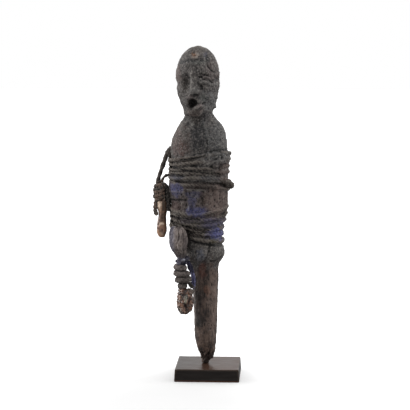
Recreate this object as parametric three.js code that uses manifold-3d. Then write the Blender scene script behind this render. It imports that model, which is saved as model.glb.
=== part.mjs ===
// A small carved wooden bocio figure, bound with cord, on a square black plinth.
// Millimetres, +Z up, the front towards -Y. The origin is the middle of the plinth's underside.
import * as THREE from 'three';
import { mergeVertices } from 'three/addons/utils/BufferGeometryUtils.js';
import Module from 'manifold-3d';

const wasm = await Module();
wasm.setup();

const { clamp, lerp } = THREE.MathUtils;
const degree = Math.PI / 180;
const gap = 0.3;                      // between pieces that touch

const plinth = { side: 61.4, height: 12, draft: 0.7, edge: 0.6 };

const cord = { radius: 1.85, sides: 5, stepsPerTurn: 19, slack: 0.25 };
const cloth = { wall: 1.1, low: 151, high: 187.5 };
const hanging = { radius: 2, sides: 8, steps: 8 };
const sideLoop = { radius: 1.7, sides: 6, steps: 9 };
const thinTail = { radius: 0.9, sides: 5, steps: 7 };
const knob = { x: 22.2, y: -8.2, z: 184.9, radius: 2.9 };
const tieBead = { x: -22.6, y: -21.4, z: 112.9, radius: 2.2 };
const tieEnd = { x: -28.6, y: -18, z: 112.8, radius: 1.5 };

// The egg-shaped head, measured from its own upright middle line and turned a little to its right.
const skull = {
  middleX: -9.8, middleZ: 286, crown: 27.6, halfWidth: 20.3, front: 21, back: 23,
  cheekZ: 275, cheekHalf: 19.8, neckZ: 250, neckHalf: 12.7, jaw: 18.2, nape: 10.4, throat: 9.5,
  turn: -6 * degree, squareness: 2.15,
};

// What stands out from the face (out above 0) or sinks into it: its place, and how far it spreads.
const faceForms = [
  { x: 1, z: 289.6, out: 1.4, wide: 10, high: 1.8 },          // brow
  { x: -8.4, z: 281.3, out: -3.2, wide: 3.6, high: 4 },       // left eye socket
  { x: 8.8, z: 286, out: -2.7, wide: 4, high: 1.5 },          // right eye slit
  { x: 9, z: 282.2, out: 1.5, wide: 4.5, high: 1.6 },         // right lower lid
  { x: 5.6, z: 276.8, out: -1.6, wide: 1.9, high: 1.9 },      // hollow beside the nose
  { x: 3.2, z: 271.4, out: 1.6, wide: 1.4, high: 1.6 },       // right wing of the nose
  { x: -3.2, z: 271.4, out: 1.4, wide: 1.4, high: 1.6 },      // left wing of the nose
  { x: -12, z: 271, out: 0.9, wide: 4, high: 5 },             // left cheek
  { x: 12, z: 272, out: 0.9, wide: 4, high: 5 },              // right cheek
  { x: -1, z: 261, out: 1.8, wide: 7, high: 6 },              // round the mouth
  { x: -0.8, z: 252.8, out: 1.4, wide: 5, high: 2.4 },        // chin
];
const nose = { top: 291, bridge: 285, tip: 270.4, base: 267.8, low: 1, out: 5, width: 1.7, spread: 1.4 };
const mouth = { x: -1.6, y: -20.5, z: 261.6, half: 4.2, high: 4.3, deep: 7, lip: 1.3 };
const ear = { bearing: 95 * degree, z: 281, skew: 3.5, out: 1, wide: 0.2, high: 3.2 };

// Left, right, front and back edges of the body and its stake at each height.
const bodyEdges = [
  { z: 12.3, left: -5.8, right: -0.4, front: -2.6, back: 3 },
  { z: 15.6, left: -6.3, right: 1, front: -4, back: 4.4 },
  { z: 16.3, left: -6.5, right: 4.5, front: -5, back: 5.5 },
  { z: 22.5, left: -9.1, right: 6.4, front: -7.6, back: 7.6 },
  { z: 30, left: -11.5, right: 7.2, front: -9.4, back: 9.4 },
  { z: 38, left: -12.8, right: 7.9, front: -10.5, back: 10.5 },
  { z: 58, left: -13.9, right: 9.1, front: -11.3, back: 11.3 },
  { z: 84, left: -15, right: 9.7, front: -11.8, back: 11.8 },
  { z: 104, left: -15.4, right: 9.8, front: -12, back: 12 },
  { z: 108, left: -15.8, right: 10.2, front: -12.6, back: 12.8 },
  { z: 111, left: -17, right: 12, front: -15.6, back: 14.4 },
  { z: 114.5, left: -18.8, right: 14.5, front: -18.8, back: 16.4 },
  { z: 119, left: -21, right: 15.9, front: -20.5, back: 18.2 },
  { z: 124, left: -23, right: 15.4, front: -20.8, back: 19.4 },
  { z: 128.5, left: -25, right: 12.4, front: -20.2, back: 19.8 },
  { z: 135, left: -27.5, right: 11.4, front: -20, back: 20 },
  { z: 142, left: -31, right: 11.4, front: -20, back: 20.3 },
  { z: 148, left: -33, right: 12.4, front: -20.3, back: 20.6 },
  { z: 155, left: -33.5, right: 13.9, front: -20.8, back: 21 },
  { z: 163, left: -33.6, right: 15.4, front: -21.2, back: 21.4 },
  { z: 172, left: -33.9, right: 16.6, front: -21.8, back: 21.8 },
  { z: 184, left: -33.4, right: 15.8, front: -22.1, back: 22 },
  { z: 196, left: -33, right: 16.5, front: -22.5, back: 22.2 },
  { z: 206, left: -33.2, right: 16.9, front: -22.5, back: 22.2 },
  { z: 214, left: -35.1, right: 18, front: -22, back: 22 },
  { z: 221, left: -34.9, right: 17.9, front: -21.2, back: 21.4 },
  { z: 228, left: -33.6, right: 17.3, front: -19.8, back: 20.2 },
  { z: 234, left: -31, right: 15.8, front: -18, back: 18.8 },
  { z: 239, left: -28, right: 13.4, front: -16, back: 17 },
  { z: 243, left: -25.5, right: 10.5, front: -14.5, back: 15.5 },
  { z: 246.5, left: -23, right: 6.8, front: -13.3, back: 14 },
  { z: 252, left: -20.5, right: 3, front: -11.5, back: 12 },
];
const bodySquareness = 2.3;

// Grooves between the hip lobes on the front: where each runs, how deep and how wide it is.
const hipGrooves = [
  { x: 0.6, lean: 0.25, z: 120, reach: 7, depth: 2.6, width: 1.9 },
  { x: -16, lean: 0.1, z: 121, reach: 9, depth: 4.2, width: 2.6 },
];

// Heights of each cord turn at the left, left front, front, right front and right of the body.
const upperTurns = [
  [206.3, 207.2, 209.2, 213.4, 212.6],
  [202.2, 203.2, 205, 207.2, 207.8],
  [198.2, 199.2, 200.9, 201.4, 201.8],
  [194.2, 195.2, 196.6, 196.2, 196.2],
  [190.2, 191.2, 191.9, 190.2, 188],
];
const waistTurns = [[185.7, 186.2, 185.2, 182.2, 179]];
const lowerTurns = [
  [162.8, 159.6, 156.5, 161.4, 163.4],
  [157.8, 154.9, 151.4, 154.2, 157.4],
  [153.6, 150.7, 146.7, 147.7, 150.4],
  [149.5, 146.4, 142.3, 142.6, 143.8],
  [145.4, 142.2, 137.9, 137.3, 137.2],
  [141.2, 138, 133.6, 131.6, 130.8],
];

// The cloth pouch on the left hip, from its tied neck up to its gathered top.
const pouchSections = [
  { z: 116, x: -24.3, y: -17.8, wide: 3.4, deep: 3 },
  { z: 118.4, x: -24.7, y: -18.1, wide: 4.2, deep: 3.4 },
  { z: 122, x: -25.9, y: -19.5, wide: 6.6, deep: 4.3 },
  { z: 126, x: -27, y: -21, wide: 8.6, deep: 4.8 },
  { z: 131, x: -28.1, y: -22.2, wide: 9.7, deep: 5 },
  { z: 136, x: -28.5, y: -22.8, wide: 9.7, deep: 4.8 },
  { z: 139.5, x: -28.8, y: -23, wide: 8.6, deep: 4 },
  { z: 142, x: -29, y: -22.9, wide: 6.6, deep: 2.6 },
];
const pleats = { turn: -45 * degree, ripples: 10, ripple: 0.25 };
const tieSections = [
  { z: 110.3, x: -23.4, y: -17.4, wide: 3.4, deep: 3 },
  { z: 111.3, x: -23.5, y: -17.4, wide: 4.8, deep: 4 },
  { z: 113, x: -23.6, y: -17.4, wide: 5.1, deep: 4.3 },
  { z: 114.7, x: -23.8, y: -17.6, wide: 4.7, deep: 4 },
  { z: 115.6, x: -24, y: -17.7, wide: 3.6, deep: 3.1 },
];
const lowerCoils = [
  { z: 89.9, x: -23.5, y: -17, wide: 4.9, deep: 4.4 },
  { z: 95.4, x: -22.9, y: -17, wide: 8, deep: 6.8 },
  { z: 101.1, x: -24, y: -17, wide: 8.3, deep: 7 },
  { z: 106.8, x: -25.3, y: -17, wide: 7.2, deep: 6.3 },
];
const podSections = [
  { z: 62.3, x: -21.6, y: -17, wide: 2.8, deep: 2.6 },
  { z: 63.9, x: -21.4, y: -17, wide: 4.8, deep: 4.4 },
  { z: 67, x: -21.1, y: -17, wide: 6.7, deep: 5.7 },
  { z: 71, x: -20.9, y: -17, wide: 7.4, deep: 6.2 },
  { z: 75.5, x: -21, y: -17, wide: 7.3, deep: 6.1 },
  { z: 80, x: -21.3, y: -17, wide: 6.6, deep: 5.6 },
  { z: 84, x: -22.2, y: -17, wide: 5, deep: 4.6 },
  { z: 86.7, x: -22.8, y: -17, wide: 3.2, deep: 3 },
];
const stripSections = [
  { z: 86.2, x: -12.7, y: -13, wide: 0.9, deep: 0.5 },
  { z: 90.5, x: -12.9, y: -13.2, wide: 2, deep: 0.55 },
  { z: 97, x: -13.3, y: -13.4, wide: 2, deep: 0.55 },
  { z: 102, x: -15, y: -13.7, wide: 1.1, deep: 0.6 },
  { z: 109, x: -17.2, y: -15.2, wide: 0.8, deep: 0.7 },
];
const upperCoils = [
  { z: 170, x: -45, y: -3, wide: 6, deep: 5.6 },
  { z: 173.6, x: -45.3, y: -3, wide: 7, deep: 6.4 },
  { z: 177, x: -45.2, y: -3, wide: 6.6, deep: 6.2 },
  { z: 180.2, x: -45.2, y: -3, wide: 6.8, deep: 6.3 },
  { z: 183.2, x: -45.7, y: -3, wide: 6.1, deep: 5.6 },
];
const coilThickness = { lower: 5.3, upper: 3.4 };
const rodSections = [
  { z: 133.1, x: -43.6, y: -3.2, wide: 1.8, deep: 2 },
  { z: 135, x: -43.9, y: -3.2, wide: 3.1, deep: 3.2 },
  { z: 138.5, x: -44.2, y: -3.2, wide: 4.4, deep: 4 },
  { z: 143, x: -44.1, y: -3.2, wide: 4.5, deep: 4.2 },
  { z: 147.5, x: -43.9, y: -3.2, wide: 4.3, deep: 4 },
  { z: 153, x: -43.7, y: -3.2, wide: 3.8, deep: 3.7 },
  { z: 160, x: -42.9, y: -3.2, wide: 3.6, deep: 3.6 },
  { z: 165, x: -42.7, y: -3.2, wide: 4, deep: 4 },
  { z: 167.8, x: -43, y: -3.2, wide: 3.4, deep: 3.4 },
];
const shoulderSections = [
  { z: 216.2, x: -37.7, y: -2.4, wide: 1.5, deep: 1.8 },
  { z: 217.4, x: -37.7, y: -2.4, wide: 2, deep: 2.6 },
  { z: 219.2, x: -37.5, y: -2.4, wide: 1.9, deep: 2.5 },
  { z: 220.6, x: -37, y: -2.4, wide: 1.2, deep: 1.6 },
];

// The routes of the free stretches of cord.
const upperEnd = [[18.4, -12.4, 187.6], [21.2, -9.6, 185.8], [23.2, -7.2, 184.6]];
const hangingRoute = [
  [-37.9, -2.4, 215.6], [-40.5, -2.7, 207.6], [-44, -3, 197.8], [-46.4, -3.1, 190.4], [-47.4, -3.1, 185.3],
];
const loopRoute = [
  [-48, -5, 170], [-49.4, -5, 166.3], [-50.6, -5, 161.8], [-50.6, -5, 157.6], [-49.5, -4.6, 154.6],
];
const tailRoute = [
  [-43.6, -3, 183.4], [-43.4, -3, 187], [-42, -3.1, 190.2], [-40, -3.1, 192.2], [-37.9, -3, 192.9],
];

const colours = {
  wood: 0x3d3733, plinth: 0x1d1a18, cord: 0x4a443e, cloth: 0x3f3c46, pouch: 0x565050,
  blueCloth: 0x343654, rod: 0x5b4236, shell: 0x6a4a3a, tie: 0x34343f,
};
const roughness = { rough: 0.85, satin: 0.45, gloss: 0.3 };

function piece(name, geometry, colour, surface = roughness.rough) {
  const material = new THREE.MeshStandardMaterial({ color: colour, roughness: surface, metalness: 0 });
  const mesh = new THREE.Mesh(geometry, material);
  mesh.name = name;
  return mesh;
}

function toSolid(geometry) {
  geometry.deleteAttribute('normal');
  geometry.deleteAttribute('uv');
  const shared = mergeVertices(geometry, 1e-4);
  return new wasm.Manifold(new wasm.Mesh({
    numProp: 3,
    vertProperties: new Float32Array(shared.attributes.position.array),
    triVerts: new Uint32Array(shared.index.array),
  }));
}

function toGeometry(solid) {
  const mesh = solid.getMesh();
  const geometry = new THREE.BufferGeometry();
  geometry.setAttribute('position', new THREE.BufferAttribute(mesh.vertProperties, 3));
  geometry.setIndex(new THREE.BufferAttribute(mesh.triVerts, 1));
  return geometry;
}

const joined = (...geometries) => toGeometry(
  geometries.map(toSolid).reduce((whole, next) => whole.add(next)),
);

// A smooth bump of height 1 in its middle, falling off over the given width.
const bump = (offset, width) => Math.exp(-(offset * offset) / (2 * width * width));

// Rises smoothly from 0 at low to 1 at high, also where high is the smaller number.
function smooth(low, high, value) {
  const t = clamp((value - low) / (high - low), 0, 1);
  return t * t * (3 - 2 * t);
}

// The slope at a table row, held so that a curve through the rows never swings past them.
function limitedSlope(before, here, after, key) {
  if (before === here || after === here) return 0;
  const low = (here[key] - before[key]) / (here.z - before.z);
  const high = (after[key] - here[key]) / (after.z - here.z);
  return low * high <= 0 ? 0 : (2 * low * high) / (low + high);
}

// A table's value at a height between two of its rows, on a smooth curve through them.
function between(rows, z, key) {
  const last = rows.length - 1;
  const above = rows.findIndex((row) => row.z > z);
  const k = above < 0 ? last - 1 : Math.max(above - 1, 0);
  const [a, b] = [rows[k], rows[k + 1]];
  const [before, after] = [rows[Math.max(k - 1, 0)], rows[Math.min(k + 2, last)]];
  const span = b.z - a.z;
  const t = clamp((z - a.z) / span, 0, 1);
  const slopeA = limitedSlope(before, a, b, key) * span;
  const slopeB = limitedSlope(a, b, after, key) * span;
  return a[key] * (2 * t ** 3 - 3 * t ** 2 + 1) + slopeA * (t ** 3 - 2 * t ** 2 + t)
    + b[key] * (3 * t ** 2 - 2 * t ** 3) + slopeB * (t ** 3 - t ** 2);
}

// A closed skin of rows and columns. A point's place follows from its bearing and row, and from
// whether it is the middle point that closes an end.
function skin(rows, columns, place) {
  const profile = [new THREE.Vector2(0, 0)];
  for (let row = 0; row < rows; row += 1) profile.push(new THREE.Vector2(1, row));
  profile.push(new THREE.Vector2(0, rows - 1));
  const geometry = new THREE.LatheGeometry(profile, columns);
  const points = geometry.attributes.position;
  for (let k = 0; k < points.count; k += 1) {
    const [across, row, along] = [points.getX(k), Math.round(points.getY(k)), points.getZ(k)];
    const isMiddle = Math.hypot(across, along) < 0.5;
    const spot = place(Math.atan2(across, along), row, isMiddle);
    points.setXYZ(k, spot.x, spot.y, spot.z);
  }
  return geometry;
}

// A tube of even thickness along a curve through the given points.
function tube(route, { radius, sides, steps }) {
  const circle = new THREE.Shape();
  for (let k = 0; k < sides; k += 1) {
    const angle = (2 * Math.PI * k) / sides;
    const [x, y] = [radius * Math.cos(angle), radius * Math.sin(angle)];
    if (k === 0) circle.moveTo(x, y);
    else circle.lineTo(x, y);
  }
  circle.closePath();
  const curve = new THREE.CatmullRomCurve3(route.map((point) => new THREE.Vector3(...point)));
  return new THREE.ExtrudeGeometry(circle, { steps, extrudePath: curve, bevelEnabled: false });
}

function ball({ x, y, z, radius }, columns, rows) {
  return new THREE.SphereGeometry(radius, columns, rows).translate(x, y, z);
}

// A point on an egg-like outline: bearing 0 is the front, and front and back may differ in depth.
function outline(bearing, { left, right, front, back }, squareness, grow = 0) {
  const power = 2 / squareness;
  const [side, ahead] = [Math.sin(bearing), -Math.cos(bearing)];
  const depth = (ahead < 0 ? -front : back) + grow;
  return {
    x: (left + right) / 2 + ((right - left) / 2 + grow) * Math.sign(side) * Math.abs(side) ** power,
    y: depth * Math.sign(ahead) * Math.abs(ahead) ** power,
  };
}

const edgesAt = (z) => Object.fromEntries(
  ['left', 'right', 'front', 'back'].map((key) => [key, between(bodyEdges, z, key)]),
);

// The plain body surface, without the grooves, moved out by grow.
const bodyPoint = (bearing, z, grow = 0) => ({ ...outline(bearing, edgesAt(z), bodySquareness, grow), z });

function makePlinth() {
  const { side, height, draft, edge } = plinth;
  const half = side / 2;
  const rows = [
    [half - edge, 0], [half, edge], [half - draft, height - edge], [half - draft - edge, height],
  ];
  const profile = [new THREE.Vector2(0, 0)];
  rows.forEach(([reach, z]) => profile.push(new THREE.Vector2(reach * Math.SQRT2, z)));
  profile.push(new THREE.Vector2(0, height));
  return new THREE.LatheGeometry(profile, 4, Math.PI / 4).rotateX(Math.PI / 2);
}

function makeBody() {
  const heights = [
    12.3, 15.5, 16.4, 19.5, 23.5, 29, 36, 50, 70, 90, 103, 107, 109, 111, 113, 115.5, 119, 123.5, 128, 133,
    140, 148, 156, 166, 178, 191, 204, 212, 219, 226, 231, 235.5, 239, 242.5, 246, 251,
  ];
  return skin(heights.length, 28, (bearing, row, isMiddle) => {
    const z = heights[row];
    const { left, right } = edgesAt(z);
    if (isMiddle) return { x: (left + right) / 2, y: 0, z };
    const spot = bodyPoint(bearing, z);
    const frontOnly = smooth(0, -6, spot.y);
    hipGrooves.forEach(({ x, lean, z: middle, reach, depth, width }) => {
      const across = bump(spot.x - x - lean * (z - middle), width);
      spot.y += depth * across * bump(z - middle, reach) * frontOnly;
    });
    return spot;
  });
}

// Half width of the head, and how far it reaches to the front and the back, at a height.
function headReach(z) {
  const { middleZ, crown, halfWidth, front, back } = skull;
  if (z > middleZ) {
    const round = Math.sqrt(Math.max(0, 1 - ((z - middleZ) / crown) ** 2));
    return { half: halfWidth * round, front: front * round, back: back * round };
  }
  const { cheekZ, cheekHalf, neckZ, neckHalf, jaw, nape, throat } = skull;
  const temples = lerp(cheekHalf, halfWidth, smooth(cheekZ, middleZ, z));
  const cheeks = lerp(neckHalf, cheekHalf, smooth(neckZ, cheekZ, z));
  const underJaw = smooth(neckZ - 4, neckZ + 1.5, z);
  return {
    half: (z > cheekZ ? temples : cheeks) * lerp(0.8, 1, smooth(neckZ - 6, neckZ, z)),
    front: lerp(lerp(throat, jaw, underJaw), front, smooth(neckZ + 4, middleZ - 4, z)),
    back: lerp(nape, back, smooth(neckZ - 6, middleZ - 8, z)),
  };
}

// How far the carving stands out from the plain head at a place on the face.
function carving(x, z) {
  let forms = 0;
  faceForms.forEach((form) => {
    forms += form.out * bump(x - form.x, form.wide) * bump(z - form.z, form.high);
  });
  const down = clamp((nose.bridge - z) / (nose.bridge - nose.tip), 0, 1);
  const ends = smooth(nose.base, nose.tip, z) * smooth(nose.top, nose.bridge, z);
  const ridge = (nose.low + nose.out * down ** 1.3) * bump(x, nose.width + nose.spread * down) * ends;
  const fromMouth = Math.hypot((x - mouth.x) / mouth.half, (z - mouth.z) / mouth.high);
  return forms + ridge + mouth.lip * bump(fromMouth - 1.3, 0.3);
}

// The head with its open mouth hollowed out, as a solid in its place on the neck.
function makeHead() {
  const { middleX, middleZ, crown, squareness, turn } = skull;
  const heights = [242, 245, 247, 248.6];
  for (let z = 250.3; z < 291; z += 2.05) heights.push(z);
  for (let angle = 20; angle < 90; angle += 13) heights.push(middleZ + crown * Math.sin(angle * degree));
  const head = skin(heights.length, 36, (evenBearing, row, isMiddle) => {
    const z = heights[row];
    if (isMiddle) return { x: 0, y: 0, z: row > 0 ? middleZ + crown : z };
    const bearing = evenBearing - 0.52 * Math.sin(evenBearing);
    const { half, front, back } = headReach(z);
    const spot = outline(bearing, { left: -half, right: half, front: -front, back }, squareness);
    const earZ = ear.z - ear.skew * Math.sign(bearing);
    const ears = ear.out * bump(Math.abs(bearing) - ear.bearing, ear.wide) * bump(z - earZ, ear.high);
    const face = carving(spot.x, z) * smooth(0, -7, spot.y);
    const grown = 1 + (ears + face) / Math.hypot(spot.x, spot.y);
    return { x: spot.x * grown, y: spot.y * grown, z };
  });
  const hollow = new THREE.SphereGeometry(1, 14, 8).scale(mouth.half, mouth.deep, mouth.high);
  hollow.translate(mouth.x, mouth.y, mouth.z);
  const [solid, cut] = [head, hollow].map((shape) => toSolid(shape.rotateZ(turn).translate(middleX, 0, 0)));
  return solid.subtract(cut);
}

const makeFigure = () => toGeometry(toSolid(makeBody()).add(makeHead()));

// How far the cord is lifted off the body by the cloth under it.
function liftOver(z) {
  const { wall, low, high } = cloth;
  return (wall + gap) * smooth(low - 3, low, z) * smooth(high + 3, high, z);
}

// The cord's middle line round the body, turn after turn, resting on what it binds.
function turnPoints(turns, startBearing, endBearing) {
  const eighthsFromLeft = [0, 0.125, 0.25, 0.375, 0.5];
  const marks = turns.flatMap((heights, turn) => heights.map(
    (height, k) => ({ z: turn + eighthsFromLeft[k], height }),
  ));
  const first = startBearing - 90;
  const last = (turns.length - 1) * 360 + endBearing - 90;
  const count = Math.round(((last - first) / 360) * cord.stepsPerTurn);
  const points = [];
  for (let k = 0; k <= count; k += 1) {
    const bearing = first + ((last - first) * k) / count;
    const height = between(marks, (bearing + 90) / 360, 'height');
    const clearance = cord.radius + gap + cord.slack + liftOver(height);
    const spot = bodyPoint(bearing * degree, height, clearance);
    points.push([spot.x, spot.y, spot.z]);
  }
  return points;
}

const lashing = (points) => tube(points, { ...cord, steps: points.length - 1 });

const makeUpperLashing = () => joined(
  lashing([...turnPoints(upperTurns, -20, 150), ...upperEnd]),
  ball(knob, 10, 6),
);

// The strip of cloth wound round the waist: a band with an outer and an inner face.
function makeWaistCloth() {
  const { wall, low, high } = cloth;
  const heights = [low, 159, 167, 175, high];
  const faces = [
    ...heights.map((z) => ({ z, out: wall + gap })),
    ...heights.toReversed().map((z) => ({ z, out: gap })),
  ];
  const profile = faces.map(({ z }, k) => new THREE.Vector2(1 + k, z));
  profile.push(profile[0].clone());
  const geometry = new THREE.LatheGeometry(profile, 28);
  const points = geometry.attributes.position;
  for (let k = 0; k < points.count; k += 1) {
    const [across, along] = [points.getX(k), points.getZ(k)];
    const { z, out } = faces[Math.round(Math.hypot(across, along)) - 1];
    const spot = bodyPoint(Math.atan2(across, along), z, out);
    points.setXYZ(k, spot.x, spot.y, spot.z);
  }
  return geometry;
}

// A rounded lump from a table of its sections: middle, half width and half depth at each height.
function lump(sections, columns, { turn = 0, squareness = 2.1, ripples = 0, ripple = 0 } = {}) {
  return skin(sections.length, columns, (bearing, row, isMiddle) => {
    const { z, x, y, wide, deep } = sections[row];
    if (isMiddle) return { x, y, z };
    const edges = { left: -wide, right: wide, front: -deep, back: deep };
    const spot = outline(bearing, edges, squareness, ripple * Math.cos(ripples * bearing));
    const flat = new THREE.Vector2(spot.x, spot.y).rotateAround(new THREE.Vector2(), turn);
    return { x: x + flat.x, y: y + flat.y, z };
  });
}

// Sections of cord wound in fat coils, one on another, from the lowest up.
function coilSections(coils, thickness) {
  const rounding = { end: 0.42 * thickness, between: 0.25 * thickness, shoulder: 0.07 * thickness };
  return coils.flatMap(({ z, x, y, wide, deep }, k) => {
    const section = (rise, inset) => ({
      z: z + rise * thickness, x, y, wide: wide - inset, deep: deep - inset,
    });
    const isLast = k === coils.length - 1;
    return [
      ...(k === 0 ? [section(-0.5, rounding.end)] : []),
      section(-0.26, rounding.shoulder),
      section(0, 0),
      section(0.26, rounding.shoulder),
      section(0.5, isLast ? rounding.end : rounding.between),
    ];
  });
}

const makeUpperBinding = () => joined(
  lump(coilSections(upperCoils, coilThickness.upper), 14, { squareness: 2.2 }),
  tube(loopRoute, sideLoop),
  tube(tailRoute, thinTail),
);

const makePouchTie = () => joined(lump(tieSections, 12), ball(tieBead, 8, 6), ball(tieEnd, 8, 5));

const root = new THREE.Group();
root.add(piece('plinth', makePlinth(), colours.plinth, roughness.satin));
root.add(piece('figure', makeFigure(), colours.wood));
root.add(piece('upper_lashing', makeUpperLashing(), colours.cord));
root.add(piece('waist_cord', lashing(turnPoints(waistTurns, -140, 210)), colours.cord));
root.add(piece('lower_lashing', lashing(turnPoints(lowerTurns, -20, 250)), colours.cord));
root.add(piece('waist_cloth', makeWaistCloth(), colours.cloth));
root.add(piece('hip_pouch', lump(pouchSections, 20, pleats), colours.pouch));
root.add(piece('pouch_tie', makePouchTie(), colours.tie));
root.add(piece('lower_binding', lump(coilSections(lowerCoils, coilThickness.lower), 14), colours.cord));
root.add(piece('seed_pod', lump(podSections, 14), colours.shell, roughness.gloss));
root.add(piece('blue_strip', lump(stripSections, 8), colours.blueCloth));
root.add(piece('shoulder_knot', lump(shoulderSections, 10), colours.cord));
root.add(piece('hanging_cord', tube(hangingRoute, hanging), colours.cord));
root.add(piece('upper_binding', makeUpperBinding(), colours.cord));
root.add(piece('upper_rod', lump(rodSections, 14), colours.rod, roughness.gloss));

export default root;
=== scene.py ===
# A small carved bocio figure, bound with cord and hung with bundles, on a square black plinth.
import math
from collections import namedtuple

import bpy
import numpy as np
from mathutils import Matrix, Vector, noise
from mathutils.bvhtree import BVHTree


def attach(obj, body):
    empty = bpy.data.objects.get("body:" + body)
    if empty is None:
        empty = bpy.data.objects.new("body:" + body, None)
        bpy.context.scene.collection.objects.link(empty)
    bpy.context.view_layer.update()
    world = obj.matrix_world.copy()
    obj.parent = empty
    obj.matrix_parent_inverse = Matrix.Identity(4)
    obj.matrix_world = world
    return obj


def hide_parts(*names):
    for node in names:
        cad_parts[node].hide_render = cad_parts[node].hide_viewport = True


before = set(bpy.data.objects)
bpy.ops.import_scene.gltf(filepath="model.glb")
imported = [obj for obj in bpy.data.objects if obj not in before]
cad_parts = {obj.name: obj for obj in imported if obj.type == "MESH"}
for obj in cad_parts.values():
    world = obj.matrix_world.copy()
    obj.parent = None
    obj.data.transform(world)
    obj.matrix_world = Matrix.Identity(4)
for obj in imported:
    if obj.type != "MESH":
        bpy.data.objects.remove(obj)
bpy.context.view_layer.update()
mm = 0.001                                    # every length below is in millimetres
fullTurn = 2 * math.pi


# Small helpers for meshes. Points are worked on in millimetres.
def activate(piece):
    bpy.ops.object.select_all(action="DESELECT")
    piece.select_set(True)
    bpy.context.view_layer.objects.active = piece


def addPrimitive(name, operator, **settings):
    bpy.ops.object.select_all(action="DESELECT")
    operator(**settings)
    piece = bpy.context.active_object
    piece.name = name
    bpy.ops.object.transform_apply(location=True, rotation=True, scale=True)
    return piece


def applyModifier(piece, kind, **settings):
    activate(piece)
    modifier = piece.modifiers.new(kind.title(), kind)
    for key, value in settings.items():
        setattr(modifier, key, value)
    bpy.ops.object.modifier_apply(modifier=modifier.name)


def readVectors(piece, kind):
    values = np.empty(len(piece.data.vertices) * 3, np.float32)
    piece.data.vertices.foreach_get(kind, values)
    return values.reshape(-1, 3).astype(float)


def readPoints(piece):
    return readVectors(piece, "co") / mm


def readNormals(piece):
    return readVectors(piece, "normal")


def writePoints(piece, points):
    piece.data.vertices.foreach_set("co", (points * mm).astype(np.float32).ravel())
    piece.data.update()


def pushOut(piece, push):                     # each point along its normal
    writePoints(piece, readPoints(piece) + readNormals(piece) * push[:, None])


def joinPieces(pieces):
    bpy.ops.object.select_all(action="DESELECT")
    for piece in pieces:
        piece.select_set(True)
    bpy.context.view_layer.objects.active = pieces[0]
    bpy.ops.object.join()
    return pieces[0]


def fuse(piece, voxel, softening=3):          # one skin over all that overlaps
    applyModifier(piece, "REMESH", mode="VOXEL", voxel_size=voxel * mm, use_smooth_shade=True)
    applyModifier(piece, "SMOOTH", factor=0.5, iterations=softening)


def hill(offset, width):                      # 1 in the middle, falling off over the width
    return np.exp(-0.5 * (offset / width) ** 2)


def rise(low, high, value):                   # from 0 at low to 1 at high, also downwards
    t = np.clip((value - low) / (high - low), 0, 1)
    return t * t * (3 - 2 * t)


def cloud(points, size, octaves=3, seed=0.0, stretch=(1, 1, 1)):     # soft noise, about -1 to 1
    shift = Vector((seed, 3.7 * seed, -1.9 * seed))
    scaled = points / (size * np.array(stretch))
    return np.array([noise.fractal(Vector(p) + shift, 1.0, 2.0, octaves) for p in scaled])


def grains(points, size, seed=0.0):           # rounded crumbs, 0 between them and 1 on top
    shift = Vector((seed, -2.3 * seed, 1.1 * seed))
    nearest = np.array([noise.voronoi(Vector(p) / size + shift)[0][0] for p in points])
    return np.clip(1 - nearest * 1.5, 0, 1)


def spot(across, along):                      # a round hill, from distances in shares of its reach
    return np.exp(-0.5 * (across**2 + along**2))


def distances(points, place, reach=(1, 1, 1)):        # 1 is the reach along each axis
    return np.linalg.norm((points - np.array(place)) / np.array(reach), axis=1)


def hollowness(piece, rounds):                # how far each point lies under its smoothed surroundings
    points = readPoints(piece)
    ends = np.empty(len(piece.data.edges) * 2, np.int32)
    piece.data.edges.foreach_get("vertices", ends)
    first, second = ends.reshape(-1, 2).T
    count = len(points)
    neighbours = np.bincount(first, minlength=count) + np.bincount(second, minlength=count)
    soft = points.copy()
    for _ in range(rounds):
        for axis in range(3):
            column = soft[:, axis]
            total = np.bincount(first, column[second], count)
            total += np.bincount(second, column[first], count)
            soft[:, axis] = 0.5 * column + 0.5 * total / neighbours
    return np.einsum("ij,ij->i", soft - points, readNormals(piece))


def writeMask(piece, name, values):
    layer = piece.data.attributes.new(name, "FLOAT", "POINT")
    layer.data.foreach_set("value", values.astype(np.float32))


def writeStainAndLight(piece, colours, amounts):
    layer = piece.data.attributes.new("stainAndLight", "FLOAT_COLOR", "POINT")
    layer.data.foreach_set("color", np.column_stack([colours, amounts]).astype(np.float32).ravel())


def rgb(*channels):                           # a colour as a picture shows it, made linear
    return tuple(c / 255 / 12.92 if c <= 10 else ((c / 255 + 0.055) / 1.055) ** 2.4 for c in channels)


def rgba(colour):
    return (*rgb(*colour), 1)


def everywhere(points, colour):
    return np.tile(np.array(rgb(*colour)), (len(points), 1))


def tinted(colours, colour, share):           # each point's colour, moved towards another
    return colours + (np.array(rgb(*colour)) - colours) * share[:, None]


# The camera, at the photograph's viewing angle.
cameraLook = {"place": (74.8, -1485.6, 340), "pitch": 83.25, "turn": 3, "lens": 139.2, "sensor": 36}


def makeCamera():
    place = [mm * value for value in cameraLook["place"]]
    angles = (math.radians(cameraLook["pitch"]), 0, math.radians(cameraLook["turn"]))
    bpy.ops.object.camera_add(location=place, rotation=angles)
    camera = bpy.context.active_object
    camera.data.lens = cameraLook["lens"]
    camera.data.sensor_width = cameraLook["sensor"]
    camera.data.clip_end = 50
    bpy.context.scene.camera = camera
    print("camera made")


makeCamera()


# Tubes and ropes, swept along a route.
def smoothed(values, reach):
    padded = np.pad(values, ((reach, reach), (0, 0)), mode="reflect", reflect_type="odd")
    kernel = np.hanning(2 * reach + 3)[1:-1]
    kernel /= kernel.sum()
    return np.column_stack([np.convolve(padded[:, k], kernel, "valid") for k in range(values.shape[1])])


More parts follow.
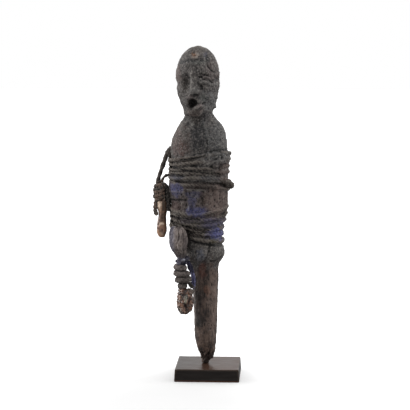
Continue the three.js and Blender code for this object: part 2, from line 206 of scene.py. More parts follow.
def evenly(points, step):                     # the same line with points an even step apart
    points = np.asarray(points, float)
    along = np.concatenate([[0], np.cumsum(np.linalg.norm(np.diff(points, axis=0), axis=1))])
    marks = np.linspace(0, along[-1], max(3, round(along[-1] / step) + 1))
    return np.column_stack([np.interp(marks, along, points[:, k]) for k in range(3)])


def throughPoints(points, step=0.5):          # a smooth curve through a few points
    points = np.asarray(points, float)
    before = np.vstack([2 * points[:1] - points[1:2], points[:-2]])
    here, after = points[:-1], points[1:]
    beyond = np.vstack([points[2:], 2 * points[-1:] - points[-2:-1]])
    bend = 2 * before - 5 * here + 4 * after - beyond
    swing = 3 * here - before - 3 * after + beyond
    shares = np.linspace(0, 1, 25)[:-1]
    pieces = [0.5 * (2 * here + (after - before) * t + bend * t**2 + swing * t**3) for t in shares]
    curve = np.stack(pieces, axis=1).reshape(-1, points.shape[1])
    curve = np.vstack([curve, points[-1:]])
    return curve if step is None else evenly(curve, step)


def sweep(name, route, sides, reachAt):
    route = np.asarray(route, float)
    ahead = np.gradient(route, axis=0)
    ahead /= np.linalg.norm(ahead, axis=1)[:, None]
    across = np.empty_like(route)
    start = np.cross(ahead[0], (0, 0, 1) if abs(ahead[0][2]) < 0.8 else (0, 1, 0))
    across[0] = start / np.linalg.norm(start)
    for k in range(1, len(route)):            # carried along without turning about the route
        carried = across[k - 1] - ahead[k] * np.dot(across[k - 1], ahead[k])
        across[k] = carried / np.linalg.norm(carried)
    upward = np.cross(ahead, across)
    along = np.concatenate([[0], np.cumsum(np.linalg.norm(np.diff(route, axis=0), axis=1))])
    around = np.arange(sides) * fullTurn / sides
    reach = reachAt(along[:, None], around[None, :])
    thick = reach.mean()
    fromEnd = np.minimum(along, along[-1] - along)
    closing = np.sqrt(np.clip(1 - (1 - np.clip((fromEnd + 0.12 * thick) / thick, 0, 1)) ** 2, 0, 1))
    reach = reach * closing[:, None]
    cos, sin = np.cos(around)[None, :, None], np.sin(around)[None, :, None]
    ring = cos * across[:, None] + sin * upward[:, None]
    points = route[:, None] + reach[:, :, None] * ring
    first = route[0] - ahead[0] * 0.1 * thick
    last = route[-1] + ahead[-1] * 0.1 * thick
    vertices = np.vstack([points.reshape(-1, 3), first, last])
    row = np.arange(len(route) - 1)[:, None] * sides
    here = np.arange(sides)[None, :]
    there = (here + 1) % sides
    corners = [row + here, row + there, row + sides + there, row + sides + here]
    faces = np.stack(corners, axis=-1).reshape(-1, 4).tolist()
    startPole, endPole = len(vertices) - 2, len(vertices) - 1
    lastRow = (len(route) - 1) * sides
    for k in range(sides):
        after = (k + 1) % sides
        faces.append([startPole, after, k])
        faces.append([endPole, lastRow + k, lastRow + after])
    mesh = bpy.data.meshes.new(name)
    mesh.from_pydata((vertices * mm).tolist(), [], faces)
    piece = bpy.data.objects.new(name, mesh)
    bpy.context.scene.collection.objects.link(piece)
    activate(piece)
    bpy.ops.object.mode_set(mode="EDIT")
    bpy.ops.mesh.select_all(action="SELECT")
    bpy.ops.mesh.normals_make_consistent(inside=False)
    bpy.ops.object.mode_set(mode="OBJECT")
    return piece


def twisted(radius, strands, pitch, depth=0.22):      # the section of a rope of a few strands
    def reachAt(along, around):
        phase = strands * (around - fullTurn * along / pitch) / 2
        swell = 1 + 0.05 * np.sin(along / 5.3) + 0.04 * np.sin(along / 2.1 + 1)
        return radius * swell * (1 - depth * (1 - np.abs(np.cos(phase))))
    return reachAt


def roughen(piece, amount, size, seed, octaves=4):
    pushOut(piece, amount * cloud(readPoints(piece), size, octaves, seed))


# Materials. A Signal is one output in a node tree, and arithmetic on it adds Math nodes.
class Signal:
    def __init__(self, tree, socket=None):
        self.tree = tree
        self.socket = socket

    def node(self, kind, settings, inputs, output=0):
        made = self.tree.nodes.new(kind)
        for key, value in settings.items():
            setattr(made, key, value)
        sockets = {socket.identifier: socket for socket in made.inputs}
        for key, value in inputs.items():
            socket = made.inputs[key] if isinstance(key, int) else sockets[key]
            if isinstance(value, Signal):
                self.tree.links.new(value.socket, socket)
            else:
                socket.default_value = value
        outputs = {socket.identifier: socket for socket in made.outputs}
        return Signal(self.tree, made.outputs[output] if isinstance(output, int) else outputs[output])

    def math(self, operation, *values):
        return self.node("ShaderNodeMath", {"operation": operation}, dict(enumerate(values)))

    def __add__(self, other):
        return self.math("ADD", self, other)

    def __radd__(self, other):
        return self.math("ADD", other, self)

    def __sub__(self, other):
        return self.math("SUBTRACT", self, other)

    def __rsub__(self, other):
        return self.math("SUBTRACT", other, self)

    def __mul__(self, other):
        return self.math("MULTIPLY", self, other)

    def __rmul__(self, other):
        return self.math("MULTIPLY", other, self)

    def rising(self, low, high):              # 0 to 1, also where high is the smaller
        return self.node("ShaderNodeMapRange", {"interpolation_type": "SMOOTHSTEP"},
                         {"Value": self, "From Min": low, "From Max": high}, "Result")

    def sine(self):
        return self.math("SINE", self)


def blendColours(amount, low, high):          # each colour a Signal, or plain as a picture shows it
    low, high = (colour if isinstance(colour, Signal) else rgba(colour) for colour in (low, high))
    return amount.node("ShaderNodeMix", {"data_type": "RGBA"},
                       {"Factor_Float": amount, "A_Color": low, "B_Color": high}, "Result_Color")


def objectPlace(start):
    return start.node("ShaderNodeTexCoord", {}, {}, "Object")


def stretched(place, scale):
    return place.node("ShaderNodeVectorMath", {"operation": "MULTIPLY"}, {0: place, 1: scale}, "Vector")


def mottle(place, size, detail=3.0, roughness=0.55):
    look = {"Vector": place, "Scale": 1000 / size, "Detail": detail, "Roughness": roughness}
    return place.node("ShaderNodeTexNoise", {}, look, "Fac")


def crumbs(place, size):
    return place.node("ShaderNodeTexVoronoi", {}, {"Vector": place, "Scale": 1000 / size}, "Distance")


def mask(start, name):
    return start.node("ShaderNodeAttribute", {"attribute_name": name}, {}, "Fac")


def stainAndLightLayer(start, output):                   # the stains and the painted light and shade on a piece's points: its Color or Alpha
    return start.node("ShaderNodeAttribute", {"attribute_name": "stainAndLight"}, {}, output)


# Crust with a mottle, stains, blotches, specks and pits, rubbed pale on edges, and dark in hollows: dirt
# gathered there, and painted shade.
def weathered(start, place, colours, fine=1.6, speckle=0.5):
    hollow = mask(start, "hollow")
    stainAndLight = stainAndLightLayer(start, "Color")
    stainAndLightAmount = stainAndLightLayer(start, "Alpha")
    colour = blendColours(mottle(place, 8, 5, 0.65).rising(0.38, 0.62), colours["dark"], colours["light"])
    colour = blendColours(stainAndLightAmount * (0.7 + 0.5 * mottle(place, 3)), colour, stainAndLight)
    blotch = mottle(stretched(place, (1.1, 1, 0.8)), 3.4, 4, 0.65)
    colour = blendColours(blotch.rising(0.54, 0.68) * speckle * 0.7, colour, colours["pale"])
    colour = blendColours(blotch.rising(0.46, 0.32) * speckle * 1.1, colour, colours["crevice"])
    specks = mottle(place, fine, 3, 0.6)
    pits = mottle(place, fine * 1.4, 3, 0.6)
    rubbed = hollow.rising(-0.05, -0.3) * (0.5 - 0.4 * stainAndLightAmount)
    colour = blendColours(specks.rising(0.5, 0.7) * speckle, colour, colours["pale"])
    colour = blendColours(pits.rising(0.5, 0.34) * speckle * 1.4, colour, colours["crevice"])
    colour = blendColours(rubbed, colour, colours["pale"])
    # painted shade: the hollows darkened towards the crevice colour
    return blendColours(hollow.rising(0.02, 0.3) * 0.95, colour, colours["crevice"])


def newMaterial(name, paint, **constants):
    material = bpy.data.materials.new(name)
    material.use_nodes = True
    tree = material.node_tree
    shader = tree.nodes["Principled BSDF"]
    for key, value in constants.items():
        shader.inputs[key.replace("_", " ")].default_value = value
    for key, signal in paint(Signal(tree)).items():
        if isinstance(signal, Signal):
            tree.links.new(signal.socket, shader.inputs[key])
        else:
            shader.inputs[key].default_value = signal
    return material


def relief(height, distance):
    return height.node("ShaderNodeBump", {}, {"Distance": distance * mm, "Height": height}, "Normal")


def paintWood(start):
    place = objectPlace(start)
    colours = {"dark": (61, 55, 53), "light": (92, 87, 84),
               "pale": (152, 146, 140), "crevice": (14, 12, 11)}
    crust = weathered(start, place, colours)
    fibres = mottle(stretched(place, (1, 1, 0.2)), 1.5, 4, 0.65)
    streaks = mottle(stretched(place, (1, 1, 0.5)), 6, 4, 0.65)
    wood = blendColours(streaks.rising(0.42, 0.6), (46, 35, 31), (102, 84, 75))
    wood = blendColours(stainAndLightLayer(start, "Alpha") * 0.7, wood, stainAndLightLayer(start, "Color"))
    wood = blendColours(fibres.rising(0.48, 0.34) * 0.7, wood, (18, 13, 11))
    wood = blendColours(fibres.rising(0.56, 0.7) * 0.45, wood, (140, 126, 116))
    # painted shade: the hollows of the bare wood darkened
    wood = blendColours(mask(start, "hollow").rising(0.02, 0.3) * 0.9, wood, (14, 10, 8))
    bare = mask(start, "bareWood")
    bumps = mottle(place, 1.3, 5, 0.7) + 0.6 * crumbs(place, 1.5) + bare * fibres
    return {
        "Base Color": blendColours(bare, crust, wood),
        "Roughness": 0.5 + 0.3 * mottle(place, 4),
        "Normal": relief(bumps, 0.7),
    }


def paintCord(start):
    place = objectPlace(start)
    colours = {"dark": (56, 50, 47), "light": (92, 85, 80),
               "pale": (128, 120, 112), "crevice": (10, 8, 8)}
    fibres = mottle(place, 0.7, 4, 0.75)
    return {
        "Base Color": weathered(start, place, colours, 1.8, 0.35),
        "Roughness": 0.72 + 0.2 * mottle(place, 3),
        "Normal": relief(fibres + 0.5 * crumbs(place, 1.1), 0.35),
    }


def weave(start, threadsAround, threadsUp):      # raised where the threads cross
    place = start.node("ShaderNodeUVMap", {}, {}, "UV")
    around = start.node("ShaderNodeSeparateXYZ", {}, {"Vector": place}, "X")
    upward = start.node("ShaderNodeSeparateXYZ", {}, {"Vector": place}, "Y")
    return (around * (threadsAround * math.pi)).sine() * (upward * (threadsUp * math.pi)).sine()


def paintCloth(start):
    place = objectPlace(start)
    colours = {"dark": (62, 55, 55), "light": (98, 88, 85),
               "pale": (146, 138, 132), "crevice": (14, 12, 12)}
    threads = weave(start, 440, 96)
    return {
        "Base Color": weathered(start, place, colours, 1.3, 0.4),
        "Roughness": 0.78 + 0.15 * mottle(place, 3),
        "Normal": relief(mottle(place, 1.0, 5, 0.7) + 0.25 * threads, 0.4),
    }


def paintPouch(start):
    place = objectPlace(start)
    colours = {"dark": (98, 88, 86), "light": (157, 144, 137),
               "pale": (176, 166, 162), "crevice": (24, 20, 22)}
    threads = weave(start, 220, 90)
    return {
        "Base Color": weathered(start, place, colours, 1.5, 0.25),
        "Roughness": 0.75 + 0.15 * mottle(place, 3),
        "Normal": relief(mottle(place, 1.2, 4) + 0.3 * threads, 0.3),
    }


def paintBlue(start):
    place = objectPlace(start)
    colours = {"dark": (92, 91, 125), "light": (128, 127, 167),
               "pale": (136, 134, 160), "crevice": (14, 13, 20)}
    return {
        "Base Color": weathered(start, place, colours, 1.0, 0.3),
        "Roughness": 0.8 + 0.1 * mottle(place, 2),
        "Normal": relief(mottle(place, 0.6, 4, 0.7), 0.25),
    }


def paintRod(start):
    place = objectPlace(start)
    along = mottle(stretched(place, (1, 1, 0.2)), 1.6, 4, 0.6)
    broad = mottle(place, 5, 3)
    colour = blendColours(broad.rising(0.38, 0.6), (72, 46, 34), (156, 118, 97))
    colour = blendColours(along.rising(0.5, 0.3) * 0.6, colour, (34, 22, 17))
    # painted shade: the hollows darkened
    colour = blendColours(mask(start, "hollow").rising(0.0, 0.3), colour, (22, 14, 11))
    return {
        "Base Color": blendColours(stainAndLightLayer(start, "Alpha"), colour, stainAndLightLayer(start, "Color")),
        "Roughness": 0.2 + 0.2 * mottle(place, 2.5),
        "Coat Weight": 0.35 + 0.3 * broad,
        "Normal": relief(along + 0.4 * broad, 0.2),
    }


def paintPod(start):
    place = objectPlace(start)
    broad = mottle(place, 5, 3)
    fine = mottle(place, 1.2, 4, 0.65)
    colour = blendColours(broad.rising(0.4, 0.6), (42, 23, 17), (144, 104, 83))
    colour = blendColours(fine.rising(0.5, 0.36) * 0.85, colour, (20, 11, 8))
    # painted glints: pale flecks where the glossy shell catches the light
    flecksAndGlints = mottle(place, 1.0, 3, 0.6).rising(0.58, 0.66) * mask(start, "glintSpots")
    colour = blendColours(flecksAndGlints, colour, (244, 228, 210))
    colour = blendColours(stainAndLightLayer(start, "Alpha"), colour, stainAndLightLayer(start, "Color"))
    # painted shade: the hollows darkened
    colour = blendColours(mask(start, "hollow").rising(0.0, 0.22), colour, (16, 9, 6))
    return {
        "Base Color": colour,
        "Roughness": 0.1 + 0.2 * fine + 0.45 * stainAndLightLayer(start, "Alpha"),
        "Coat Weight": (0.35 + 0.3 * broad) * (1 - stainAndLightLayer(start, "Alpha")),
        "Normal": relief(0.5 * fine + 0.8 * crumbs(place, 2.6), 0.6),
    }


def paintPlinth(start):
    place = objectPlace(start)
    grain = mottle(stretched(place, (0.06, 1, 0.8)), 1.8, 5, 0.6)
    clouds = mottle(place, 16, 3)
    colour = blendColours(grain.rising(0.35, 0.65), (28, 26, 26), (42, 39, 38))
    # painted edge highlight: the rounded edges paler, partly rubbed wear
    colour = blendColours(mask(start, "hollow").rising(-0.01, -0.08) * 0.4, colour, (78, 66, 58))
    # painted highlight: reddish brown along the foot
    colour = blendColours(mask(start, "foot"), colour, (84, 54, 44))
    # dust, and a painted sheen on the top
    colour = blendColours(mask(start, "dustAndSheen") * (0.5 + 0.5 * clouds), colour, (76, 52, 40))
    return {
        "Base Color": colour,
        "Roughness": 0.24 + 0.12 * grain + 0.1 * clouds,
        "Normal": relief(grain, 0.06),
    }


woodMaterial = newMaterial("crusted wood", paintWood, Specular_IOR_Level=0.5)
cordMaterial = newMaterial("crusted cord", paintCord, Specular_IOR_Level=0.4)
clothMaterial = newMaterial("stained cloth", paintCloth, Specular_IOR_Level=0.35)
pouchMaterial = newMaterial("pouch cloth", paintPouch, Specular_IOR_Level=0.4)
blueMaterial = newMaterial("blue cloth", paintBlue, Specular_IOR_Level=0.3)
rodMaterial = newMaterial("handled wood", paintRod, Coat_Roughness=0.12)
podMaterial = newMaterial("seed shell", paintPod, Coat_Roughness=0.15)
plinthMaterial = newMaterial("black stained wood", paintPlinth, Specular_IOR_Level=0.25,
                              Specular_Tint=(1, 0.87, 0.79, 1))


# Stains, and a few patches of painted light and shade: where each lies, on the front (side -1) or the
# back (side 1), and how far it reaches.
Patch = namedtuple("Patch", "x z wide high colour amount side", defaults=(-1,))
patches = [
    Patch(-28.7, 180.3, 6.5, 6.5, (92, 94, 136), 0.85),      # blue on the cloth
    Patch(-12, 176, 9, 4.5, (80, 82, 108), 0.65),
    Patch(-14, 169, 5, 5, (82, 85, 120), 0.6),
    Patch(-9, 160, 12, 4.8, (78, 81, 124), 0.9),
    Patch(9, 139, 9.5, 7, (88, 92, 151), 0.9),      # blue over the low cords
    Patch(4, 149.4, 13, 5.5, (84, 82, 118), 0.75),
    Patch(-18, 152, 8, 3.5, (86, 78, 98), 0.5),
    Patch(-6.6, 118.5, 5, 9, (104, 108, 122), 0.6),      # between the lobes
    Patch(-7.5, 230, 9.5, 17, (33, 32, 35), 1),      # dark middle of the chest
    Patch(-24, 224, 9, 16, (68, 52, 47), 0.9),
    Patch(-27, 219, 7, 8, (90, 62, 55), 0.6),
    Patch(15, 199, 9, 11, (92, 74, 70), 0.6),
    Patch(-30, 165, 6, 6, (98, 78, 74), 0.6),
    Patch(10, 228, 11, 18, (84, 85, 86), 0.65),      # grey right side of the chest
    Patch(-2.8, 173.3, 5, 6, (70, 54, 45), 0.7),
    Patch(2, 184, 20, 4, (54, 42, 39), 0.8),
    Patch(9, 170, 11, 15, (130, 113, 106), 0.75),
    Patch(-4.2, 104, 4, 9, (104, 60, 47), 0.85),      # red at the top of the stake
    Patch(-8.6, 74, 3, 26, (34, 26, 24), 0.7),
    Patch(-14, 60, 2.4, 38, (140, 129, 124), 1),      # painted highlight down the lit left edge of the stake
    Patch(4, 70, 4.4, 40, (132, 113, 103), 0.75),
    Patch(-0.6, 84.3, 3.5, 5, (124, 84, 64), 0.7),
    Patch(1, 62, 3, 4, (30, 24, 22), 0.6),
    Patch(-3, 37, 6, 12, (124, 102, 89), 0.7),
    Patch(-2, 20, 9, 5.5, (57, 39, 33), 0.7),      # foot of the stake
    Patch(6, 290, 8, 13, (86, 70, 69), 0.65),
    Patch(-28.5, 287, 4.5, 12, (118, 98, 94), 0.5),
    Patch(-8, 313, 13, 2, (118, 110, 98), 0.4),      # crown: painted light from above on its top rim
    Patch(2, 263, 8, 11, (118, 117, 117), 0.75),      # right cheek
    # painted shade in the recess between the pouch and the tongue
    Patch(-18.5, 115, 3.6, 10, (58, 44, 37), 0.85),
    Patch(-13.5, 253, 7, 3.5, (86, 74, 68), 0.5),
    Patch(-29, 191.5, 8, 3, (100, 102, 118), 0.6),      # between the upper cords
    Patch(1, 191, 12, 3, (86, 90, 97), 0.5),
    Patch(10, 211, 13, 7, (80, 82, 84), 0.5),
    Patch(-20, 166, 9, 8, (70, 72, 104), 0.7, side=1),
    Patch(4, 145, 12, 7, (68, 71, 112), 0.8, side=1),
    Patch(-8, 228, 12, 15, (56, 54, 57), 0.6, side=1),
    Patch(-3, 100, 8, 10, (84, 60, 50), 0.6, side=1),
]


# Marks on the front, each along a line of (x, z): its half width, how far it stands out, its colour.
Mark = namedtuple("Mark", "line wide out colour amount", defaults=(None, 0))
faceMarks = [
    Mark([(-14, 308.6), (-6, 308.8)], 1.2, -0.2, (74, 64, 56), 0.6),
    Mark([(-13.4, 306.8), (-13.4, 304)], 0.9, -0.3, (112, 82, 60), 0.85),
    Mark([(-12, 305.6)], 1.2, -0.9, (136, 94, 64), 0.95),      # the chip
    Mark([(-13.6, 303.2), (-11.4, 302.4), (-9.4, 303.6), (-8.8, 305.4)], 0.8, 0.8, (150, 136, 126), 0.75),
    Mark([(-10.2, 306.8)], 0.7, 0.4, (140, 128, 120), 0.6),
    Mark([(-3.3, 306.2), (-2.8, 303)], 0.7, -0.2, (92, 90, 102), 0.5),
    Mark([(-1.6, 306.8), (-1, 302.9)], 0.8, -0.4, (62, 62, 78), 0.7),
    Mark([(-23.5, 299.2), (-14.2, 300), (-6.8, 300.5), (0.4, 301.4)],
         1.4, -0.7, (44, 44, 46), 0.8),      # painted shadow under the ledge of the cap of hair
    Mark([(-14, 298), (-2, 298.6)], 1.2, 0.1, (80, 84, 78), 0.4),
    Mark([(-10.2, 298.2)], 0.7, 0.3, (140, 138, 134), 0.7),
    Mark([(0.6, 294.7), (4.2, 291.2), (6.9, 289)], 0.6, -0.8, (44, 40, 40), 0.55),
    Mark([(7, 294.6), (7.8, 291.3), (9.8, 290.2)], 0.6, -0.9, (42, 36, 36), 0.65),
    Mark([(-5, 292.6), (-4.8, 288.6)], 0.6, -0.5, (40, 37, 36), 0.5),
    Mark([(-10.4, 291.8)], 0.8, -0.5, (42, 39, 38), 0.5),
    Mark([(-24.8, 291), (-24, 288.8)], 0.7, -0.8, (44, 40, 37), 0.65),
    Mark([(-18.8, 286.8), (-17, 285.2)], 0.9, -0.5, (52, 48, 45), 0.5),
    Mark([(-19.2, 280), (-19.6, 278), (-19.4, 275.8)],
         2.8, -1.4, (58, 52, 44), 0.85),      # left eye socket: darker crust and painted shade in the hollow
    Mark([(-21.4, 277), (-19.6, 275.4)], 1.6, -0.6, (40, 34, 28), 0.6),
    Mark([(-27.5, 284.6)], 1.4, 0.2, (84, 66, 60), 0.7),
    Mark([(-30, 279.4), (-28.5, 277.6)], 1.6, -1.3, (60, 56, 54), 0.5),
    Mark([(-14.8, 288), (-14.3, 281), (-14.9, 273.6)],
         0.8, 1, (146, 140, 136), 0.6),      # left flank of the nose, raised, with a painted highlight where the light from the left falls
    Mark([(-11.2, 286), (-10.8, 272)], 1.9, 1),
    Mark([(-11.6, 282), (-11, 274)], 1.6, 0, (62, 59, 57), 0.5),
    Mark([(-12, 272)], 2.2, 0.2, (60, 60, 58), 0.5),
    Mark([(-13, 273.4), (-9.8, 272)], 2.2, 0, (64, 62, 60), 0.55),
    Mark([(-11.6, 275)], 0.6, 0.2, (138, 136, 132), 0.6),
    # painted shadow down the right flank of the nose
    Mark([(-7.8, 284.6), (-8, 279.2), (-7.4, 274.6)], 0.7, -0.1, (50, 48, 47), 0.25),
    Mark([(-12.4, 268.6), (-10.2, 269), (-9.6, 268.8)], 0.65, -1.3, (26, 24, 22), 0.75),      # nostrils: dark crust and painted shade in the holes
    Mark([(-3.6, 285.2), (0.6, 284.4)], 1.1, 1.2, (76, 62, 60), 0.6),
    Mark([(-6.4, 287.8), (-2.5, 287.2), (1.4, 285.8)], 0.6, -0.5, (46, 40, 39), 0.45),
    Mark([(-7.2, 285.2), (-5, 285.4), (-4.4, 283.4), (-1.6, 283), (1.4, 282.6), (4.4, 280)],
         0.55, -1.1, (22, 18, 18), 0.75),      # right eye: the dark slit and the shadow under the brow, painted shade
    Mark([(4.6, 282.6), (8, 281.4)], 0.8, -0.6, (50, 46, 46), 0.5),
    Mark([(-6, 280.4), (-0.3, 280), (3.6, 278.2), (6.6, 278.6)],
         0.9, 0.6, (108, 108, 104), 0.5),      # right lower lid
    Mark([(8.6, 278.8)], 1.4, 0.1, (138, 136, 132), 0.6),
    Mark([(9.8, 283.4), (15, 282.6)], 1.5, -2.8, (56, 51, 50), 0.4),
    Mark([(14.5, 279.4), (13.5, 274)], 2.4, -1.1),
    Mark([(6.4, 266), (4.4, 257.6), (3.4, 253.6)], 2.6, 1.5),
    Mark([(8.6, 271.6)], 1.6, -0.2, (48, 46, 45), 0.6),
    Mark([(-8, 281), (-7.4, 277.4)], 1.2, 0.6),
    Mark([(-6, 277), (-4.8, 276.2), (-4.7, 274.2)], 0.7, -0.6, (30, 29, 27), 0.7),
    Mark([(-2.9, 274.4), (-2.7, 271)], 0.45, -0.4, (48, 47, 45), 0.55),
    Mark([(-17.5, 266.4), (-13.4, 267)], 1.5, 0.5, (104, 93, 91), 0.55),
    Mark([(-4.5, 267.2), (-2, 265.4)], 2, -0.3, (70, 78, 74), 0.5),
    Mark([(-15.8, 259.4), (-12, 261.2)], 2.5, -0.4, (20, 12, 9), 0.95),      # mouth: dark crust and painted shade inside
    Mark([(-16.2, 257.4), (-14.6, 256.4)], 1.3, -0.8, (38, 34, 32), 0.75),
    Mark([(-9.4, 260.6), (-5.4, 260.2), (-2.4, 261)], 0.65, -0.7, (40, 39, 38), 0.55),
    Mark([(-9.6, 257.2), (-6, 259.2)], 1.2, 1.1, (126, 110, 108), 0.7),      # lower lip
    Mark([(-5.8, 254.6)], 1.1, -0.4, (78, 58, 58), 0.7),
    Mark([(-15, 254), (-11, 253.4)], 2.6, -0.2, (78, 69, 63), 0.7),
    Mark([(-17.3, 252.4), (-15.5, 249.9), (-10.8, 249), (-7.1, 250.6), (-5.3, 254)],
         0.7, 0.8, (126, 112, 106), 0.6),
    # painted shade under the chin
    Mark([(-16.5, 246.6), (-11.7, 246), (-8, 246.8)], 1.4, 0.4, (50, 42, 36), 0.7),
    Mark([(-14, 244), (-9.4, 243)], 2, 0.2, (44, 37, 31), 0.8),
    Mark([(-6, 247.4), (-2, 249.4)], 1.5, 1.1),
    Mark([(-1.5, 250), (-2.5, 245)], 2.2, -0.3, (58, 56, 60), 0.6),
]
bodyMarks = [
    Mark([(-3.3, 242.6), (-1.3, 235.4), (0.2, 229.9), (1.9, 222.6)],
         1.9, 0.35, (100, 101, 100), 0.3),      # raised edge over the chest
    Mark([(-5.1, 239), (-3.1, 233.6), (-0.9, 228.1), (0.4, 221.7), (-0.4, 217.1)],
         0.7, -0.4, (36, 34, 37), 0.35),
    Mark([(-17.4, 242.5), (-14.6, 236.2), (-14.6, 231.7), (-16, 226.2)], 0.7, -0.3, (50, 47, 47), 0.35),
    Mark([(-14, 241.2)], 1.2, 0.6, (136, 132, 128), 0.7),
    Mark([(-24, 236), (-20.8, 229.7)], 2.4, 0.5, (102, 99, 94), 0.4),
    Mark([(-28, 236), (-27.5, 216)], 2.4, 0, (94, 78, 74), 0.55),
    # painted shade: the dark lines from here on lie in the gaps between the turns of cord
    Mark([(-24.5, 208.3), (-18.8, 209), (-13.1, 209.9), (-9.4, 210.6), (-3.8, 212), (-0.1, 213.4)],
         0.75, -0.9, (20, 18, 18), 0.85),
    Mark([(2.6, 215.7), (8.1, 216.9), (11.7, 215.7), (14.4, 212.6)], 0.65, -0.8, (26, 25, 26), 0.75),
    Mark([(6.3, 209.3)], 0.8, -0.9, (18, 17, 17), 0.8),
    Mark([(9.9, 212.3), (11, 209.7)], 0.7, -0.9, (18, 17, 17), 0.8),
    Mark([(-13.1, 203.2), (-6.6, 202.8), (-0.1, 203.2), (5.4, 201.1), (9.9, 200.8), (13.5, 202.7)],
         0.7, -0.6, (24, 21, 21), 0.75),
    Mark([(-34.8, 200.9), (-30.1, 200.6), (-26.5, 200.2), (-22.6, 199.7), (-17.8, 198.4), (-10.3, 197.6),
          (-0.1, 196.6), (8.1, 196.3), (10.8, 195.5)], 0.7, -0.6, (22, 20, 19), 0.75),
    Mark([(-33.9, 194.2), (-29.6, 194.6), (-25.6, 194.1), (-21.7, 193)], 0.7, -0.6, (26, 24, 22), 0.6),
    Mark([(-28, 188), (-22.6, 187.8), (-6.6, 188.2), (0.8, 187.7), (5.4, 187.5), (11.7, 185.9),
          (16, 183.2)], 0.8, -0.8, (26, 19, 18), 0.85),
    Mark([(-16, 191.4), (-12.2, 192.9)], 1.1, 0.4, (112, 108, 102), 0.5),
    Mark([(-37, 177.3), (-29.6, 177.9), (-21.7, 178.4)], 0.8, 0.9, (108, 104, 108), 0.5),
    Mark([(-36, 169.6), (-27.6, 170.4), (-19.8, 171)], 0.75, -0.7, (30, 27, 30), 0.65),
    Mark([(-17.5, 165.2), (-17.4, 161)], 0.28, 0.2, (160, 160, 172), 0.6),
    Mark([(-35, 154.8), (-29.7, 154.2), (-25.7, 153.5), (-21.8, 154), (-16.1, 153.1), (-6.7, 152.9)],
         0.8, -0.8, (24, 20, 22), 0.8),
    Mark([(-35.9, 150.9), (-30.9, 146.8), (-25.8, 142.9), (-23.9, 140.2)], 0.8, -0.6, (22, 18, 20), 0.75),
    Mark([(-22.8, 146.1), (-18, 145.4), (-10.5, 143.2), (-2.1, 141.9), (0.6, 142.5)],
         0.8, -0.6, (42, 28, 24), 0.7),
    Mark([(-19, 142), (-13.3, 139.4), (-6.8, 138.2), (-2.1, 136), (0.7, 136.4)],
         0.95, -0.6, (40, 26, 22), 0.7),
    Mark([(-15.2, 132.4), (-6.7, 130.5), (-1.2, 129), (4.4, 128), (12.4, 126.4)],
         0.75, -0.7, (24, 20, 18), 0.75),
    Mark([(6.1, 132.5)], 1.8, 0, (92, 86, 48), 0.6),
    Mark([(13.2, 143.6)], 1.3, 0, (112, 98, 62), 0.6),
    Mark([(14.2, 157)], 1, -0.8, (22, 20, 20), 0.8),
    Mark([(2.4, 130), (1.6, 123.9), (-1.6, 114.4)], 0.6, -0.4, (56, 50, 43), 0.4),
    # painted shadow under the right lobe
    Mark([(3, 112.2), (8, 112.4), (13, 116.4)], 0.9, -1.3, (32, 23, 20), 0.85),
    Mark([(-14.4, 122), (-11, 114.6), (-6.4, 111.8), (-2.6, 113)], 0.8, -0.6, (48, 40, 37), 0.35),
    # painted shade in the recess between the pouch and the tongue
    Mark([(-18.1, 138), (-17.1, 122)], 2.2, -0.8, (36, 28, 22), 0.8),
]


def fromLine(x, z, line):                     # distance from a line on the front
    nearest = np.full(len(x), 1e3)
    for (ax, az), (bx, bz) in zip(line, line[1:] or line):
        spanX, spanZ = bx - ax, bz - az
        t = np.clip(((x - ax) * spanX + (z - az) * spanZ) / max(spanX**2 + spanZ**2, 1e-6), 0, 1)
        nearest = np.minimum(nearest, np.hypot(x - ax - t * spanX, z - az - t * spanZ))
    return nearest


def markShape(points, mark, wander):          # 1 along the mark on the front, 0 away from it
    line = np.array(mark.line)
    reach = 4 * mark.wide
    x, y, z = points.T
    near = (x > line[:, 0].min() - reach) & (x < line[:, 0].max() + reach) & (y < 5)
    near &= (z > line[:, 1].min() - reach) & (z < line[:, 1].max() + reach)
    shape = np.zeros(len(points))
    away = fromLine(x[near], z[near], mark.line) * (1 + 0.35 * wander[near])
    shape[near] = hill(away, mark.wide) * rise(5, -2, y[near])
    return shape


def carveMarks(points, marks):
    wander = cloud(points, 3, 2, 6.3)
    return sum(mark.out * markShape(points, mark, wander) for mark in marks)


def paintPatches(piece, strength=1.0, layers=()):      # layers are pairs of amounts and a colour
    points = readPoints(piece)
    x, y, z = points.T
    wander = cloud(points, 4.5, 3, 5.1)
    wobble = cloud(points, 1.8, 2, 5.7)
    colours = np.full((len(points), 3), 0.1)
    amounts = np.zeros(len(points))
    allLayers = []
    for stainAndLight in patches:
        away = np.hypot((x - stainAndLight.x) / stainAndLight.wide, (z - stainAndLight.z) / stainAndLight.high)
        facing = rise(-6, 3, stainAndLight.side * y)
        allLayers.append((rise(1.25, 0.55, away + 0.45 * wander) * facing * stainAndLight.amount, stainAndLight.colour))
    for mark in faceMarks + bodyMarks:
        if mark.colour:
            allLayers.append((markShape(points, mark, wobble) * mark.amount * 1.15, mark.colour))
    for amount, colour in [*allLayers, *layers]:
        amount = np.clip(amount * strength, 0, 1)
        share = amount / np.maximum(amount + amounts * (1 - amount), 1e-6)
        colours = tinted(colours, colour, share)
        amounts = amounts + amount * (1 - amounts)
    writeStainAndLight(piece, colours, amounts)


def dress(piece, node, material, patchStrength=1.0, rounds=8, gain=1.0, angle=60):
    activate(piece)
    bpy.ops.object.shade_smooth_by_angle(angle=math.radians(angle))
    piece.data.materials.clear()
    piece.data.materials.append(material)
    writeMask(piece, "hollow", hollowness(piece, rounds) * gain)
    if "stainAndLight" not in piece.data.attributes:
        paintPatches(piece, patchStrength)
    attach(piece, "root")
    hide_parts(node)
    print(f"{piece.name} made, {len(piece.data.vertices)} points")


